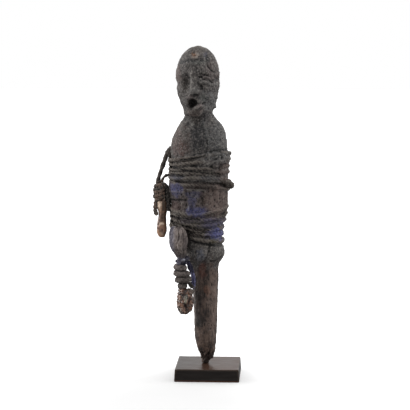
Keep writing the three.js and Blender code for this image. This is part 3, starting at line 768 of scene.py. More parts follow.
# The body's outline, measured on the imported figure, that the cords and the cloth are wound on.
bodyLook = {"squareness": 2.3, "low": 60, "high": 236, "inside": -8}


def measureBody():
    tree = BVHTree.FromObject(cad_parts["figure"], bpy.context.evaluated_depsgraph_get())
    heights = np.arange(bodyLook["low"], bodyLook["high"], 2.0)

    def reach(x, z, direction):
        hit = tree.ray_cast(Vector((x, 0, z)) * mm, Vector(direction))[0]
        return np.array(hit) / mm

    left = np.array([reach(bodyLook["inside"], z, (-1, 0, 0))[0] for z in heights])
    right = np.array([reach(bodyLook["inside"], z, (1, 0, 0))[0] for z in heights])
    front = np.array([reach(x, z, (0, -1, 0))[1] for x, z in zip((left + right) / 2, heights)])
    back = np.array([reach(x, z, (0, 1, 0))[1] for x, z in zip((left + right) / 2, heights)])
    return heights, left, right, front, back


bodyHeights, *bodyEdges = measureBody()


def bodyPoint(bearing, z, grow):              # bearing 0 is the front, and 90 degrees the right side
    power = 2 / bodyLook["squareness"]
    left, right, front, back = (np.interp(z, bodyHeights, edge) for edge in bodyEdges)
    side, ahead = np.sin(bearing), -np.cos(bearing)
    depth = np.where(ahead < 0, -front, back) + grow
    x = (left + right) / 2 + ((right - left) / 2 + grow) * np.sign(side) * np.abs(side) ** power
    return np.stack([x, depth * np.sign(ahead) * np.abs(ahead) ** power, z], axis=-1)


# Each cord's turns: their heights at the left, left front, front, right front and right of the body,
# and how far the cord's middle lies outside the body at the left, front, right and back.
windings = {
    "upper": {"depths": [2.3, 1.4, 2.1, 1.3], "turns": [
        [206.3, 208.2, 211, 214.6, 213.4],
        [202.2, 203.8, 206, 208.2, 208.4],
        [198.2, 199.2, 200.9, 201.4, 201.8],
        [194.2, 195.2, 196.6, 196.2, 196.2],
        [190.2, 191.2, 191.9, 190.2, 188],
    ]},
    "waist": {"depths": [0.3, 1.0, 1.3, 1.3], "turns": [[185.7, 186.2, 185.2, 182.2, 179]]},
    "lower": {"depths": [0.4, 1.0, 1.7, 1.2], "turns": [
        [162.8, 159.6, 156.5, 161.4, 163.4],
        [157.8, 154.9, 151.4, 154.2, 157.4],
        [153.6, 150.7, 146.7, 147.7, 150.4],
        [149.5, 146.4, 142.3, 142.6, 143.8],
        [145.4, 142.2, 137.9, 137.3, 137.2],
        [141.2, 138, 133.6, 131.6, 130.8],
    ]},
}
upperEnd = [[17.2, -12.9, 188.2], [19.8, -10.8, 186.6], [21.4, -9, 184.6], [21.6, -8.6, 183.4]]
cordLook = {"radius": 2.0, "sides": 16, "step": 0.6, "strands": 3, "pitch": 11, "sunk": 3.2,
            "emerging": 28, "overPouch": 2.6}
clothLook = {"low": 151, "high": 187.5, "wall": 0.7, "lap": 16, "seam": 150}
knobLook = {"place": [21.8, -8.6, 183.9], "radius": 3.3, "thick": 2.9, "from": [13, -15.4, 189.4]}


# A turn's height at a bearing in degrees, counted on over the turns.
def turnHeight(turns, bearing):
    marks = [turn + eighth for turn in range(len(turns)) for eighth in (0, 0.125, 0.25, 0.375, 0.5)]
    heights = [height for turn in turns for height in turn]
    return np.interp((bearing + 90) / 360, marks, heights)


def turnRoute(name, start, end, wander):      # start and end in degrees on from the left side
    turns, depths = windings[name]["turns"], windings[name]["depths"]
    bearing = np.linspace(start, (len(turns) - 1) * 360 + end, 260 * len(turns)) - 90
    height = smoothed(turnHeight(turns, bearing)[:, None], 12)[:, 0]
    swaying = np.sin(np.radians(bearing * 2.3)) + np.sin(np.radians(bearing * 5.1 + 40))
    height = height + wander * swaying
    depth = np.interp((bearing + 90) % 360, [0, 90, 180, 270, 360], depths + depths[:1])
    overCloth = clothLook["wall"] * rise(clothLook["low"] - 3, clothLook["low"], height)
    overCloth = overCloth * rise(clothLook["high"] + 3, clothLook["high"], height)
    fromLeft = (bearing + 270) % 360 - 180
    overPouch = cordLook["overPouch"] * hill(fromLeft - 12, 26) * rise(152, 145, height)
    sunk = cordLook["sunk"] * rise(cordLook["emerging"], 0, bearing + 90 - start)
    return bodyPoint(np.radians(bearing), height, depth + overCloth + overPouch - sunk)


def lashing(name, route, seed):
    route = smoothed(evenly(route, cordLook["step"]), 4)
    section = twisted(cordLook["radius"], cordLook["strands"], cordLook["pitch"], 0.3)
    piece = sweep(name, route, cordLook["sides"], section)
    roughen(piece, 0.6, 5, seed)
    roughen(piece, 0.4, 1.7, seed + 3)
    pushOut(piece, 1.2 * np.minimum(carveMarks(readPoints(piece), bodyMarks), 0))
    return piece


def knot(name, centre, radius, seed, turns=3):        # a small ball of wound cord
    ball = addPrimitive(name, bpy.ops.mesh.primitive_uv_sphere_add, segments=40, ring_count=26,
                        radius=radius * mm, location=[mm * value for value in centre])
    points = readPoints(ball)
    away = points - np.array(centre)
    winding = np.arctan2(away[:, 1], away[:, 0]) + turns * 1.3 * away[:, 2] / radius
    winding = winding + 1.2 * np.sin(2 * away[:, 0] / radius)
    writePoints(ball, points + away * (0.16 * np.abs(np.sin(turns * winding / 2)) - 0.1)[:, None])
    roughen(ball, 0.12 * radius, 0.8 * radius, seed)
    return ball


def makeHangingCord():
    look = {"radius": 2.2, "strands": 2, "pitch": 15, "depth": 0.25, "sides": 20}
    route = [[-37.9, -2.4, 215.6], [-40.5, -2.7, 207.6], [-44, -3, 197.8], [-46.4, -3.1, 190.4],
             [-47.4, -3.1, 185.3]]
    line = throughPoints(route)
    rope = twisted(look["radius"], look["strands"], look["pitch"], look["depth"])
    piece = sweep("hanging_cord_pair", line, look["sides"], rope)
    roughen(piece, 0.2, 1.4, 11)
    # the cord darker all over, and painted shade on the side turned to the right
    shade = 0.6 + 0.35 * rise(-1, 1.5, readNormals(piece)[:, 0] * 2)
    writeStainAndLight(piece, everywhere(shade, (44, 36, 34)), shade)
    dress(piece, "hanging_cord", cordMaterial, 0)


makeHangingCord()


def makeUpperLashing():
    route = np.vstack([turnRoute("upper", -20, 150, 0.18), upperEnd])
    rope = lashing("upper_lashing_rope", route, 1)
    end = knot("knob", knobLook["place"], knobLook["radius"], 2)
    crustedRoute = throughPoints([knobLook["from"], *upperEnd[:3]])
    crusted = sweep("crusted", crustedRoute, 20, twisted(knobLook["thick"], 3, 10, 0.12))
    roughen(crusted, 0.65, 2, 6)
    dirt = knot("dirt", [18, -10.6, 184], 2.9, 8)
    dress(joinPieces([rope, end, crusted, dirt]), "upper_lashing", cordMaterial)


def makeWaistCord():
    rope = lashing("waist_cord_rope", turnRoute("waist", -140, 210, 0.15), 4)
    dress(rope, "waist_cord", cordMaterial)


def makeLowerLashing():
    rope = lashing("lower_lashing_rope", turnRoute("lower", -20, 250, 0.18), 7)
    dress(rope, "lower_lashing", cordMaterial)


# The cloth wound once round the waist, with its end lapped at the back.
def makeWaistCloth():
    low, high = clothLook["low"], clothLook["high"]
    across, along = 300, 60
    cloth = addPrimitive("waist_cloth_strip", bpy.ops.mesh.primitive_grid_add,
                         x_subdivisions=across, y_subdivisions=along, size=1)
    flat = readPoints(cloth) * mm + 0.5
    turn = flat[:, 0]
    bearing = clothLook["seam"] + turn * (360 + clothLook["lap"])
    angle = np.radians(bearing)
    front = (bearing + 180) % 360 - 180       # degrees from the front, right above 0
    z = low + (high - low) * flat[:, 1]
    z = z + rise(0.25, 0, flat[:, 1]) * 0.8 * np.sin(angle * 3)
    z = z + rise(0.75, 1, flat[:, 1]) * 0.6 * np.sin(angle * 4 + 1)
    plain = bodyPoint(angle, z, 0)
    lapped = clothLook["wall"] * rise(0.94, 0.97, turn)
    underCords = 0.7 * rise(168, 162, z) * (1 + 0.4 * cloud(plain, 6, 3, 24))
    leftCover = hill(front + 80, 28) * (1.2 * rise(165, 170, z) + 1.4 * rise(177, 181, z))
    cover = leftCover + 1.4 * hill(front - 90, 28)
    fibrous = 0.3 * rise(181, 183.5, z) * (0.6 + 0.4 * np.sin(angle * 60 + 2 * np.sin(z)))
    wrinkles = 0.9 * cloud(plain, 5, 4, 21, (0.8, 0.8, 2.4))
    wrinkles = wrinkles + 0.35 * cloud(plain, 2.2, 3, 22, (0.8, 0.8, 1.4))
    crumbled = 0.55 * grains(plain, 3.2, 23) * hill(front - 45, 32)
    marked = carveMarks(plain, bodyMarks)
    out = 0.9 + lapped + underCords + cover + fibrous + marked + wrinkles + crumbled
    writePoints(cloth, bodyPoint(angle, z, np.clip(out, 0.2, 5)))
    applyModifier(cloth, "SOLIDIFY", thickness=0.5 * mm, offset=-1)
    dress(cloth, "waist_cloth", clothMaterial, 1.0, 10)


# Lumps turned from a sphere, through sections (z, x, y, half width, half depth) from the lowest up.
def lump(name, sections, segments=64, ringsPerSection=8, squareness=2.1, turn=0):
    table = throughPoints(sections, None)
    rings = ringsPerSection * (len(sections) - 1)
    ball = addPrimitive(name, bpy.ops.mesh.primitive_uv_sphere_add, segments=segments,
                        ring_count=rings, radius=1)
    unit = readPoints(ball) * mm
    climb = 1 - np.arccos(np.clip(unit[:, 2], -1, 1)) / math.pi
    mark = climb * (len(table) - 1)
    z, x, y, wide, deep = (np.interp(mark, np.arange(len(table)), column) for column in table.T)
    bearing = np.arctan2(unit[:, 0], -unit[:, 1])
    power = 2 / squareness
    side, ahead = np.sin(bearing), -np.cos(bearing)
    across = np.maximum(wide, 0) * np.sign(side) * np.abs(side) ** power
    along = np.maximum(deep, 0) * np.sign(ahead) * np.abs(ahead) ** power
    cos, sin = math.cos(turn), math.sin(turn)
    places = [x + across * cos - along * sin, y + across * sin + along * cos, z]
    writePoints(ball, np.stack(places, axis=-1))
    return ball, bearing, climb


def offPoles(climb, reach=0.05):              # 0 at a lump's two poles
    return rise(0, reach, climb) * rise(1, 1 - reach, climb)


# The pouch: its gathers are waves around it, each with a depth, a count and a share of the drift.
pouchLook = {
    "turn": -45, "gathers": [(0.6, 8, 1), (0.35, 17, 2), (0.2, 29, 0)], "dye": (98, 99, 117),
    "sections": [
        (115.7, -24.3, -17.8, 0, 0), (116.2, -24.3, -17.8, 3, 2.6), (118.4, -24.7, -18.1, 4.4, 4),
        (122, -25.7, -19.5, 6.8, 5.2), (126, -26.6, -21, 8.9, 6), (131, -26.9, -22.2, 10.1, 6.4),
        (136, -27, -22.6, 10.1, 6.4), (140.5, -27.4, -22.6, 9.4, 5.8), (144.5, -28, -22.4, 7.6, 3.6),
        (145, -28, -22.4, 0, 0),
    ],
}


def makePouch():
    pouch, bearing, climb = lump("hip_pouch_cloth", pouchLook["sections"], 180, 14,
                                 turn=math.radians(pouchLook["turn"]))
    points = readPoints(pouch)
    x, y, z = points.T
    drift = 0.6 * np.sin(z / 4.5) + 0.6 * cloud(points, 8, 2, 31)
    fan = bearing + 0.4 * cloud(points, 12, 2, 34)
    waves = [deep * np.sin(count * fan + share * drift) for deep, count, share in pouchLook["gathers"]]
    depth = 0.5 + 0.5 * rise(128, 118, z) + 0.4 * rise(134, 141, z)
    creases = 0.45 * cloud(points, 5, 3, 32, (0.6, 0.6, 2))
    across = x + 25.6 - 0.1 * (z - 138)
    fold = -0.65 * hill(across, 0.55) + 0.25 * hill(across - 2, 1.1)
    fold = fold * rise(-14, -18, y) * rise(131, 138, z)
    pushOut(pouch, (sum(waves) * depth + creases + fold) * rise(0, 0.06, climb))
    points = readPoints(pouch)
    dyed = 0.75 * rise(-28, -32.5, points[:, 0] + 1.5 * cloud(points, 4, 3, 33))
    dyed = dyed + 0.35 * rise(122, 117, points[:, 2])
    writeStainAndLight(pouch, everywhere(points, pouchLook["dye"]), np.clip(dyed, 0, 1))
    dress(pouch, "hip_pouch", pouchMaterial, 1.0, 10, 1.2)


def coilRoute(coils, thickness, start, tilt=0):       # a helix over the coils' sections
    count = len(coils)
    turn = np.linspace(0, count, 90 * count)
    marks = np.arange(count) + 0.5
    z, x, y, wide, deep = (np.interp(turn, marks, column) for column in np.array(coils).T)
    bearing = fullTurn * turn + start
    across = (wide - thickness / 2) * np.sin(bearing)
    along = (deep - thickness / 2) * np.cos(bearing)
    route = np.stack([x + across, y - along, z + tilt * np.sin(bearing)], axis=-1)
    return smoothed(evenly(route, 0.5), 5)


def ringRoute(coil, thickness, tilt):         # one closed coil, its ends side by side at the back
    z, x, y, wide, deep = coil
    bearing = np.linspace(math.pi, 3 * math.pi + 0.25, 100)
    across = (wide - thickness / 2) * np.sin(bearing)
    along = (deep - thickness / 2) * np.cos(bearing)
    return evenly(np.stack([x + across, y - along, z + tilt * np.sin(bearing + 0.4)], axis=-1), 0.5)


def coreOf(name, coils, thickness, inset=0.62):       # a lump that fills the coils
    less, beyond = inset * thickness, 0.42 * thickness
    inner = [(z, x, y, wide - less, deep - less) for z, x, y, wide, deep in coils]
    low, high = inner[0], inner[-1]
    start = (low[0] - beyond, low[1], low[2], 0, 0)
    end = (high[0] + beyond, high[1], high[2], 0, 0)
    return lump(name, [start, *inner, end], 32, 4)[0]


lowerBindingLook = {
    "thickness": 5.2, "tilts": (0.3, 0.5, -0.3, -0.5), "gaps": (92.4, 98.4, 104.2),
    "coils": [(89.2, -23.3, -17, 4.7, 4.3), (95.4, -22.5, -17, 8.1, 6.6), (101.2, -24, -17, 8, 6.8),
              (106.9, -25.4, -17, 6.4, 6.3)],
    "strand": [(-20.6, -20.6, 95), (-17.6, -20, 93.4), (-15.8, -18, 90.4), (-13.8, -16.2, 87.6)],
    "crust": (136, 125, 123), "gapColour": (26, 19, 16), "strandAndShadeColour": (22, 17, 15),
}


def makeLowerBinding():
    look = lowerBindingLook
    coils, thickness = look["coils"], look["thickness"]
    rope = twisted(0.54 * thickness, 3, 16, 0.14)
    routes = [ringRoute(coil, thickness, tilt) for coil, tilt in zip(coils, look["tilts"])]
    rings = [sweep("ring", route, 20, rope) for route in routes]
    strand = sweep("strand", throughPoints(look["strand"]), 12, twisted(1.9, 2, 6, 0.2))
    binding = joinPieces([coreOf("lower_binding_coils", coils, thickness, 0.42), *rings, strand])
    fuse(binding, 0.4, 2)
    roughen(binding, 0.25, 3.4, 41)
    roughen(binding, 0.5, 1.4, 42)
    points = readPoints(binding)
    x, y, z = points.T
    z = z + 0.5 * cloud(points, 4, 3, 43)
    # painted shade: dark lines in the gaps between the coils
    gaps = sum(hill(z - gap, 0.8) for gap in look["gaps"]) * rise(-17, -20, y)
    patchy = np.clip(0.75 + 0.9 * cloud(points, 2.4, 2, 44), 0, 1)
    pale = (0.35 + 0.5 * rise(97, 104, z)) * (1 - gaps) * patchy + 0.9 * gaps
    inStrand = rise(-18, -17, x) * rise(94, 93, z)
    colours = tinted(everywhere(points, look["crust"]), look["gapColour"], gaps)
    colours = tinted(colours, look["strandAndShadeColour"], inStrand)
    writeStainAndLight(binding, colours, np.maximum(pale, 0.9 * inStrand))
    dress(binding, "lower_binding", cordMaterial, 0, 14, 0.8)


pouchTieLook = {
    "thickness": 2.8, "neck": (-23.8, -17.5, 5.2, 4.4), "heights": (110.4, 112.6, 114.8),
    "core": [(108.6, -24, -17.2, 0, 0), (109, -24, -17.2, 3.2, 2.8), (113, -23.6, -17.4, 4.2, 3.6),
             (116.8, -24.2, -17.8, 3.6, 3.1), (117.2, -24.2, -17.8, 0, 0)],
    "bead": [-21.8, -21.8, 113.4], "bow": [-19.2, -17.4, 115.4], "end": [-28.6, -18, 112.8],
    "crust": (96, 94, 112), "beadColour": (22, 22, 44), "beadHighlight": (214, 216, 228),
}


def makePouchTie():
    look = pouchTieLook
    turns = coilRoute([(z, *look["neck"]) for z in look["heights"]], look["thickness"], 0.4, 0.7)
    cord = sweep("pouch_tie_cord", turns, 14, twisted(1.5, 2, 7, 0.2))
    core = lump("core", look["core"], 32, 4)[0]
    bead = knot("bead", look["bead"], 2.6, 51, 2)
    bow = knot("bow", look["bow"], 2.6, 54, 2)
    end = knot("end", look["end"], 1.6, 52, 2)
    tie = joinPieces([cord, core, bead, bow, end])
    fuse(tie, 0.3, 2)
    roughen(tie, 0.3, 1.6, 53)
    points = readPoints(tie)
    inBead = rise(4.2, 3, distances(points, (-21.4, -23, 111.6)))
    # a painted highlight on the bead
    beadHighlight = hill(distances(points, (-21.6, -23.6, 115.6)), 0.9)
    colours = tinted(everywhere(points, look["crust"]), look["beadColour"], inBead)
    writeStainAndLight(tie, tinted(colours, look["beadHighlight"], beadHighlight), 0.8 + 0.2 * inBead)
    dress(tie, "pouch_tie", cordMaterial, 1.0, 8, 0.25)


podLook = {
    "sections": [
        (61.9, -21.6, -17, 0, 0), (62.4, -21.6, -17, 2.9, 2.6), (63.9, -21.4, -17, 4.8, 4.4),
        (67, -21.1, -17, 6.7, 5.7), (71, -20.8, -17, 7.5, 6.2), (75.5, -20.6, -17, 7.6, 6.1),
        (80, -20.8, -17, 7.1, 5.6), (84, -21.4, -17, 5.6, 4.6), (86.7, -22.8, -17, 3.2, 3),
        (87.1, -22.8, -17, 0, 0),
    ],
    "cap": [-16.6, -17.4, 83.6], "capRadius": 3.7,
    "ridge": (138, 140, 124), "cavity": (40, 17, 9), "capColour": (88, 78, 72),
}


def makePod():
    pod, _, climb = lump("seed_pod_shell", podLook["sections"], 144, 12)
    points = readPoints(pod)
    x, y, z = points.T
    front = rise(-15, -19, y)
    ridge = spot((x + 20.1 - 0.1 * (z - 76)) / 0.9, (z - 76.6) / 2.6) * front
    rightCavity = spot((x + 16.4 - 0.3 * (z - 76)) / 1.1, (z - 75.8) / 3.4)
    lowCavity = spot(x + 20 + 0.25 * (z - 70), (z - 70.4) / 2.8)
    cavity = front * np.maximum(rightCavity, lowCavity)
    warts = grains(points, 2.6, 61) * rise(-18.4, -20.5, x) * rise(63, 66, z)
    push = 0.9 * ridge - 2.2 * cavity + 1.1 * warts + 0.6 * cloud(points, 2.6, 3, 62)
    pushOut(pod, push * offPoles(climb))
    dark = np.maximum(cavity, 0.8 * spot((x + 21.4) / 1.5, (z - 84) / 2) * front)
    colours = everywhere(points, podLook["ridge"])
    colours[dark > ridge] = rgb(*podLook["cavity"])
    # where the painted glints fall: most on the left and low down
    writeMask(pod, "glintSpots", 0.25 + 0.75 * rise(-22, -27, x) + 0.5 * rise(70, 64, z))
    writeStainAndLight(pod, colours, np.clip(0.75 * ridge + dark, 0, 0.95))
    cap = knot("cap", podLook["cap"], podLook["capRadius"], 63, 2)
    capPoints = readPoints(cap)
    # painted glints all over the cap
    writeMask(cap, "glintSpots", np.full(len(capPoints), 1.0))
    writeStainAndLight(cap, everywhere(capPoints, podLook["capColour"]), np.full(len(capPoints), 0.75))
    dress(joinPieces([pod, cap]), "seed_pod", podMaterial, 1.0, 8, 0.8)


stripLook = {
    "sections": [
        (85.9, -12.9, -13, 0, 0), (86.3, -12.9, -13, 1.2, 0.6), (90.5, -13.2, -13.2, 2.3, 0.7),
        (97, -13.7, -13.4, 2.3, 0.8), (102, -14.6, -14, 2.3, 1), (108, -16.6, -15.4, 2.5, 1.1),
        (112.6, -18.6, -16.6, 1.8, 1), (113, -18.7, -16.6, 0, 0),
    ],
    "wornEnd": (150, 142, 146), "darkTop": (34, 32, 40), "darkAbove": 100,
}


def makeBlueStrip():
    strip, _, climb = lump("blue_strip_cloth", stripLook["sections"], 48, 12, 2.6)
    points = readPoints(strip)
    x, _, z = points.T
    fold = 0.3 * np.sin(3 * x + 0.35 * z) + 0.35 * cloud(points, 2.5, 3, 71)
    pushOut(strip, fold * offPoles(climb, 0.08))
    top = stripLook["darkAbove"]
    colours = everywhere(points, stripLook["wornEnd"])
    colours[z > top] = rgb(*stripLook["darkTop"])
    writeStainAndLight(strip, colours, np.clip(0.8 * rise(89.5, 87.5, z) + 0.8 * rise(top, top + 3, z), 0, 1))
    dress(strip, "blue_strip", blueMaterial, 1.0, 6)


shoulderKnotLook = {
    "roughness": 0.35, "grain": 1.6,
    "sections": [
        (208.6, -35.8, -2.4, 0, 0), (209, -35.8, -2.4, 1.2, 1.4), (211.5, -36.6, -2.4, 2.4, 2.8),
        (214.5, -36.7, -2.4, 3, 3.2), (217.5, -35.8, -2.4, 2.6, 2.9), (219.6, -34.9, -2.4, 1.4, 1.8),
        (220, -34.8, -2.4, 0, 0),
    ],
}


def makeShoulderKnot():
    wound = lump("shoulder_knot_cord", shoulderKnotLook["sections"], 40, 6)[0]
    roughen(wound, shoulderKnotLook["roughness"], shoulderKnotLook["grain"], 81)
    dress(wound, "shoulder_knot", cordMaterial, 0)


upperBindingLook = {
    "thickness": 3.6,
    "coils": [(170, -45, -3, 6, 5.6), (173.6, -45.3, -3, 7, 6.4), (177, -45.2, -3, 6.6, 6.2),
              (180.2, -45.2, -3, 6.8, 6.3), (183.2, -45.7, -3, 6.1, 5.6)],
    "loop": [(-48, -5, 171), (-49.2, -5, 166.5), (-49.8, -5, 161.5), (-49.4, -5, 157),
             (-47.6, -4.8, 154.6)],
    "tail": [(-43.6, -3, 183.4), (-43.4, -3, 187), (-42, -3.1, 190), (-40, -3.1, 191.8),
             (-37.9, -3, 192.6), (-35.6, -3, 193)],
    "strand": [(-41, -5, 184.4), (-38, -5.6, 179), (-36.8, -5.8, 171), (-37.2, -5.8, 163),
               (-36.9, -5.8, 158.6)],
    "fill": [-41.4, -4.6, 169.6], "neck": [-47.2, -3.1, 186],
    "crust": (126, 102, 88), "strandAndShadeColour": (15, 12, 11),
}


def makeUpperBinding():
    look = upperBindingLook
    coils, thickness = look["coils"], look["thickness"]
    rope = twisted(0.52 * thickness, 3, 11, 0.16)
    binding = joinPieces([
        sweep("upper_binding_coils", coilRoute(coils, thickness, 1.2, 1.5), 16, rope),
        sweep("loop", throughPoints(look["loop"]), 16, twisted(2, 3, 10, 0.16)),
        sweep("tail", throughPoints(look["tail"]), 12, twisted(1.35, 2, 5, 0.15)),
        sweep("strand", throughPoints(look["strand"]), 18, twisted(2.4, 2, 9, 0.22)),
        knot("fill", look["fill"], 2.4, 97, 2),
        knot("neck", look["neck"], 2.3, 93, 2),
        coreOf("core", coils, thickness),
    ])
    fuse(binding, 0.36, 2)
    roughen(binding, 0.55, 3, 91)
    roughen(binding, 0.5, 1.3, 92)
    points = readPoints(binding)
    x = points[:, 0]
    colours = everywhere(points, look["crust"])
    # the strand at the right painted near black: a cord, and the shade between the bundle and the figure
    colours[x > -40.6] = rgb(*look["strandAndShadeColour"])
    writeStainAndLight(binding, colours, 0.85 * rise(-0.3, 0.3, cloud(points, 4, 3, 94) + rise(-42, -40, x)))
    dress(binding, "upper_binding", cordMaterial, 0, 10, 1.6)


rodLook = {
    "sections": [
        (133.1, -43.4, -3.2, 0, 0), (133.4, -43.5, -3.2, 2, 2.1), (135, -43.9, -3.2, 3.3, 3.3),
        (138.5, -43.9, -3.2, 4.7, 4), (143, -43.8, -3.2, 4.8, 4.2), (147.5, -43.8, -3.2, 4.4, 4),
        (153, -43.3, -3.2, 3.9, 3.8), (157, -42.9, -3.2, 4, 3.9), (161.5, -43.2, -3.2, 5.2, 4.4),
        (165.5, -43.2, -3.2, 5.4, 4.5), (168.2, -43.2, -3.2, 4.6, 4), (168.6, -43.2, -3.2, 0, 0),
    ],
    "worn": (182, 140, 106), "gleam": (255, 230, 206), "shaded": (74, 52, 33),
}


def makeRod():
    rod, _, climb = lump("upper_rod_wood", rodLook["sections"], 72, 10)
    points = readPoints(rod)
    x, y, z = points.T
    crease = -0.5 * hill(z - 146 + 0.075 * (x + 44) ** 2, 0.5) * rise(0, -5, y)
    pushOut(rod, (crease + 0.25 * cloud(points, 4, 3, 95)) * offPoles(climb))
    # painted highlights: a crescent, the top and the tip, where the glossy rod catches the light
    crescent = hill(z - 147 + 0.16 * (x + 43.4) ** 2, 0.8) * rise(-3, -5, y)
    crescent = crescent * rise(-47, -45.6, x) * rise(-40.6, -42, x)
    top = spot((x + 46) / 1.9, (z - 164.6) / 3.6) * (1.2 + 0.9 * cloud(points, 1.8, 3, 96))
    top = np.clip(top, 0, 1)
    tip = 0.6 * spot((x + 43) / 1.4, (z - 138.6) / 2.2)
    low = rise(141, 136, z + 0.6 * (x + 44))
    # painted shade down the right side of the rod, turned towards the figure
    neck = 0.75 * hill(z - 153.5, 6) * rise(-45.6, -43.4, x)
    neck = neck + 0.8 * rise(-44, -42.4, x) * rise(158, 160.5, z)
    neck = np.maximum(neck, 0.75 * rise(-44.2, -43, x) * rise(160, 162, z)) * rise(0, -3, y)
    pale = np.max([crescent, top, tip], axis=0)
    colours = tinted(everywhere(points, rodLook["worn"]), rodLook["gleam"], pale)
    colours = tinted(colours, rodLook["shaded"], np.clip(1.6 * neck - top - crescent, 0, 1))
    writeStainAndLight(rod, colours, np.clip(crescent + 0.9 * top + 0.7 * low + neck, 0, 1))
    dress(rod, "upper_rod", rodMaterial, 1.0, 8, 0.8)


# The carved figure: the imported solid, smoothed, then carved finer and crusted over.
figureLook = {
    "voxel": 0.74, "axis": -8.5, "stakeTop": 104, "betweenCords": (1.4, 3.3),
    "tuft": (5.8, -4, 257), "tuftReach": (3, 4.4, 3),
    "mouth": (-12.4, -15, 260.8), "mouthReach": (4.6, 8, 4.3),
    "fineness": [(0, 0.9), (104, 0.9), (112, 1), (152, 1), (157, 0.5), (181, 0.5), (187, 1), (243, 1),
                 (252, 1.3), (320, 1.3)],
}


# Larger where the remeshed skin should be finer, and back again.
def stretchFigure(piece, back=False):
    heights = np.arange(0, 320, 0.5)
    share = np.interp(heights, *zip(*figureLook["fineness"]))
    climbed = np.concatenate([[0], np.cumsum((share[1:] + share[:-1]) / 4)])
    points = readPoints(piece)
    z = np.interp(points[:, 2], climbed, heights) if back else points[:, 2]
    factor = np.interp(z, heights, share)[:, None]
    points[:, :2] = points[:, :2] / factor if back else points[:, :2] * factor
    points[:, 2] = z if back else np.interp(z, heights, climbed)
    writePoints(piece, points)


def carveHead(points):
    _, y, z = points.T
    strokes = cloud(points, 1.6, 3, 101, (1, 1, 6)) * rise(286, 290, z) * rise(301, 297, z)
    cap = 0.4 * rise(300.5, 302, z)
    return carveMarks(points, faceMarks) + (0.35 * strokes + cap) * rise(0, -8, y)


def carveBody(points):
    x, y, z = points.T
    front = rise(0, -8, y)
    bearing = np.degrees(np.arctan2(x - figureLook["axis"], -y))
    inFront = np.clip(bearing, -90, 90)
    topTurn = turnHeight(windings["upper"]["turns"][:1], inFront)
    lowTurn = turnHeight(windings["lower"]["turns"][-1:], inFront)
    lumps = 0.8 + 0.45 * cloud(points, 7, 3, 103) + 0.6 * rise(203, 208, z) * hill(bearing - 50, 24)
    least, most = figureLook["betweenCords"]
    upper = rise(topTurn + 3.5, topTurn - 0.5, z) * rise(186, 188, z)
    upper = upper * (least + (most - least) * rise(-20, 2, x))
    lower = rise(lowTurn - 3.5, lowTurn + 0.5, z) * rise(152, 150, z)
    lower = lower * (least + (most - least) * rise(0, 14, x))
    push = carveMarks(points, bodyMarks) + (upper + 0.75 * lower) * lumps
    panel = rise(-16, -13.5, x) * rise(1.5, -1, x + 0.25 * (z - 230)) * front
    panel = panel * rise(212, 217, z) * rise(244, 240, z)
    threads = np.sin(fullTurn * (x + z) / 2.8) * np.sin(fullTurn * (x - 1.2 * z) / 4.4)
    tongue = rise(1.15, 0.6, np.hypot((x + 6.4) / 7.6, (z - 123.5) / 12)) * front * rise(133, 128, z)
    shoulder = spot((y + 2.4) / 3, (z - 215) / 4) * rise(-30, -34, x)
    leftLobe = 2.6 * hill(z - 112.5, 4.2) * rise(-10, -15, x) * rise(-15, -10, y)
    return push + 0.35 * panel * threads + 0.9 * tongue + 1.6 * shoulder + leftLobe


def carveStake(points):
    z = points[:, 2]
    stake = rise(110, figureLook["stakeTop"], z)
    flats = 0.6 * cloud(points, 10, 3, 105, (1, 1, 2))
    fibres = 0.16 * cloud(points, 1.8, 4, 106, (1, 1, 8))
    cracks = cloud(points, 3.4, 3, 107, (1, 1, 10))
    cracks = -0.7 * hill(cracks, 0.03) * rise(0.1, 0.35, cloud(points, 9, 2, 108))
    ragged = cloud(points, 2.4, 4, 109, (1, 1, 2.4)) * rise(27, 17, z)
    splits = -2.2 * hill(cloud(points, 3, 2, 110, (1, 1, 3)), 0.12) * rise(29, 19, z)
    whole = rise(12.6, 17, z)
    return stake * (flats + fibres + cracks + (1.2 * ragged + splits) * whole + 1.3 * (1 - whole))


def crustOver(points):
    x, _, z = points.T
    head = rise(246, 252, z)
    granular = 0.5 + 0.5 * rise(-4, 4, x) * rise(205, 212, z)
    granular = granular * rise(100, 112, z) * (1 - 0.4 * head * rise(6, -2, x))
    coarse = 0.45 * cloud(points, 5.5, 4, 111)
    fine = 0.5 * (grains(points, 2.3, 112) - 0.3) + 0.4 * cloud(points, 1.7, 3, 113)
    return coarse + granular * fine + 0.16 * cloud(points, 1.6, 3, 114)


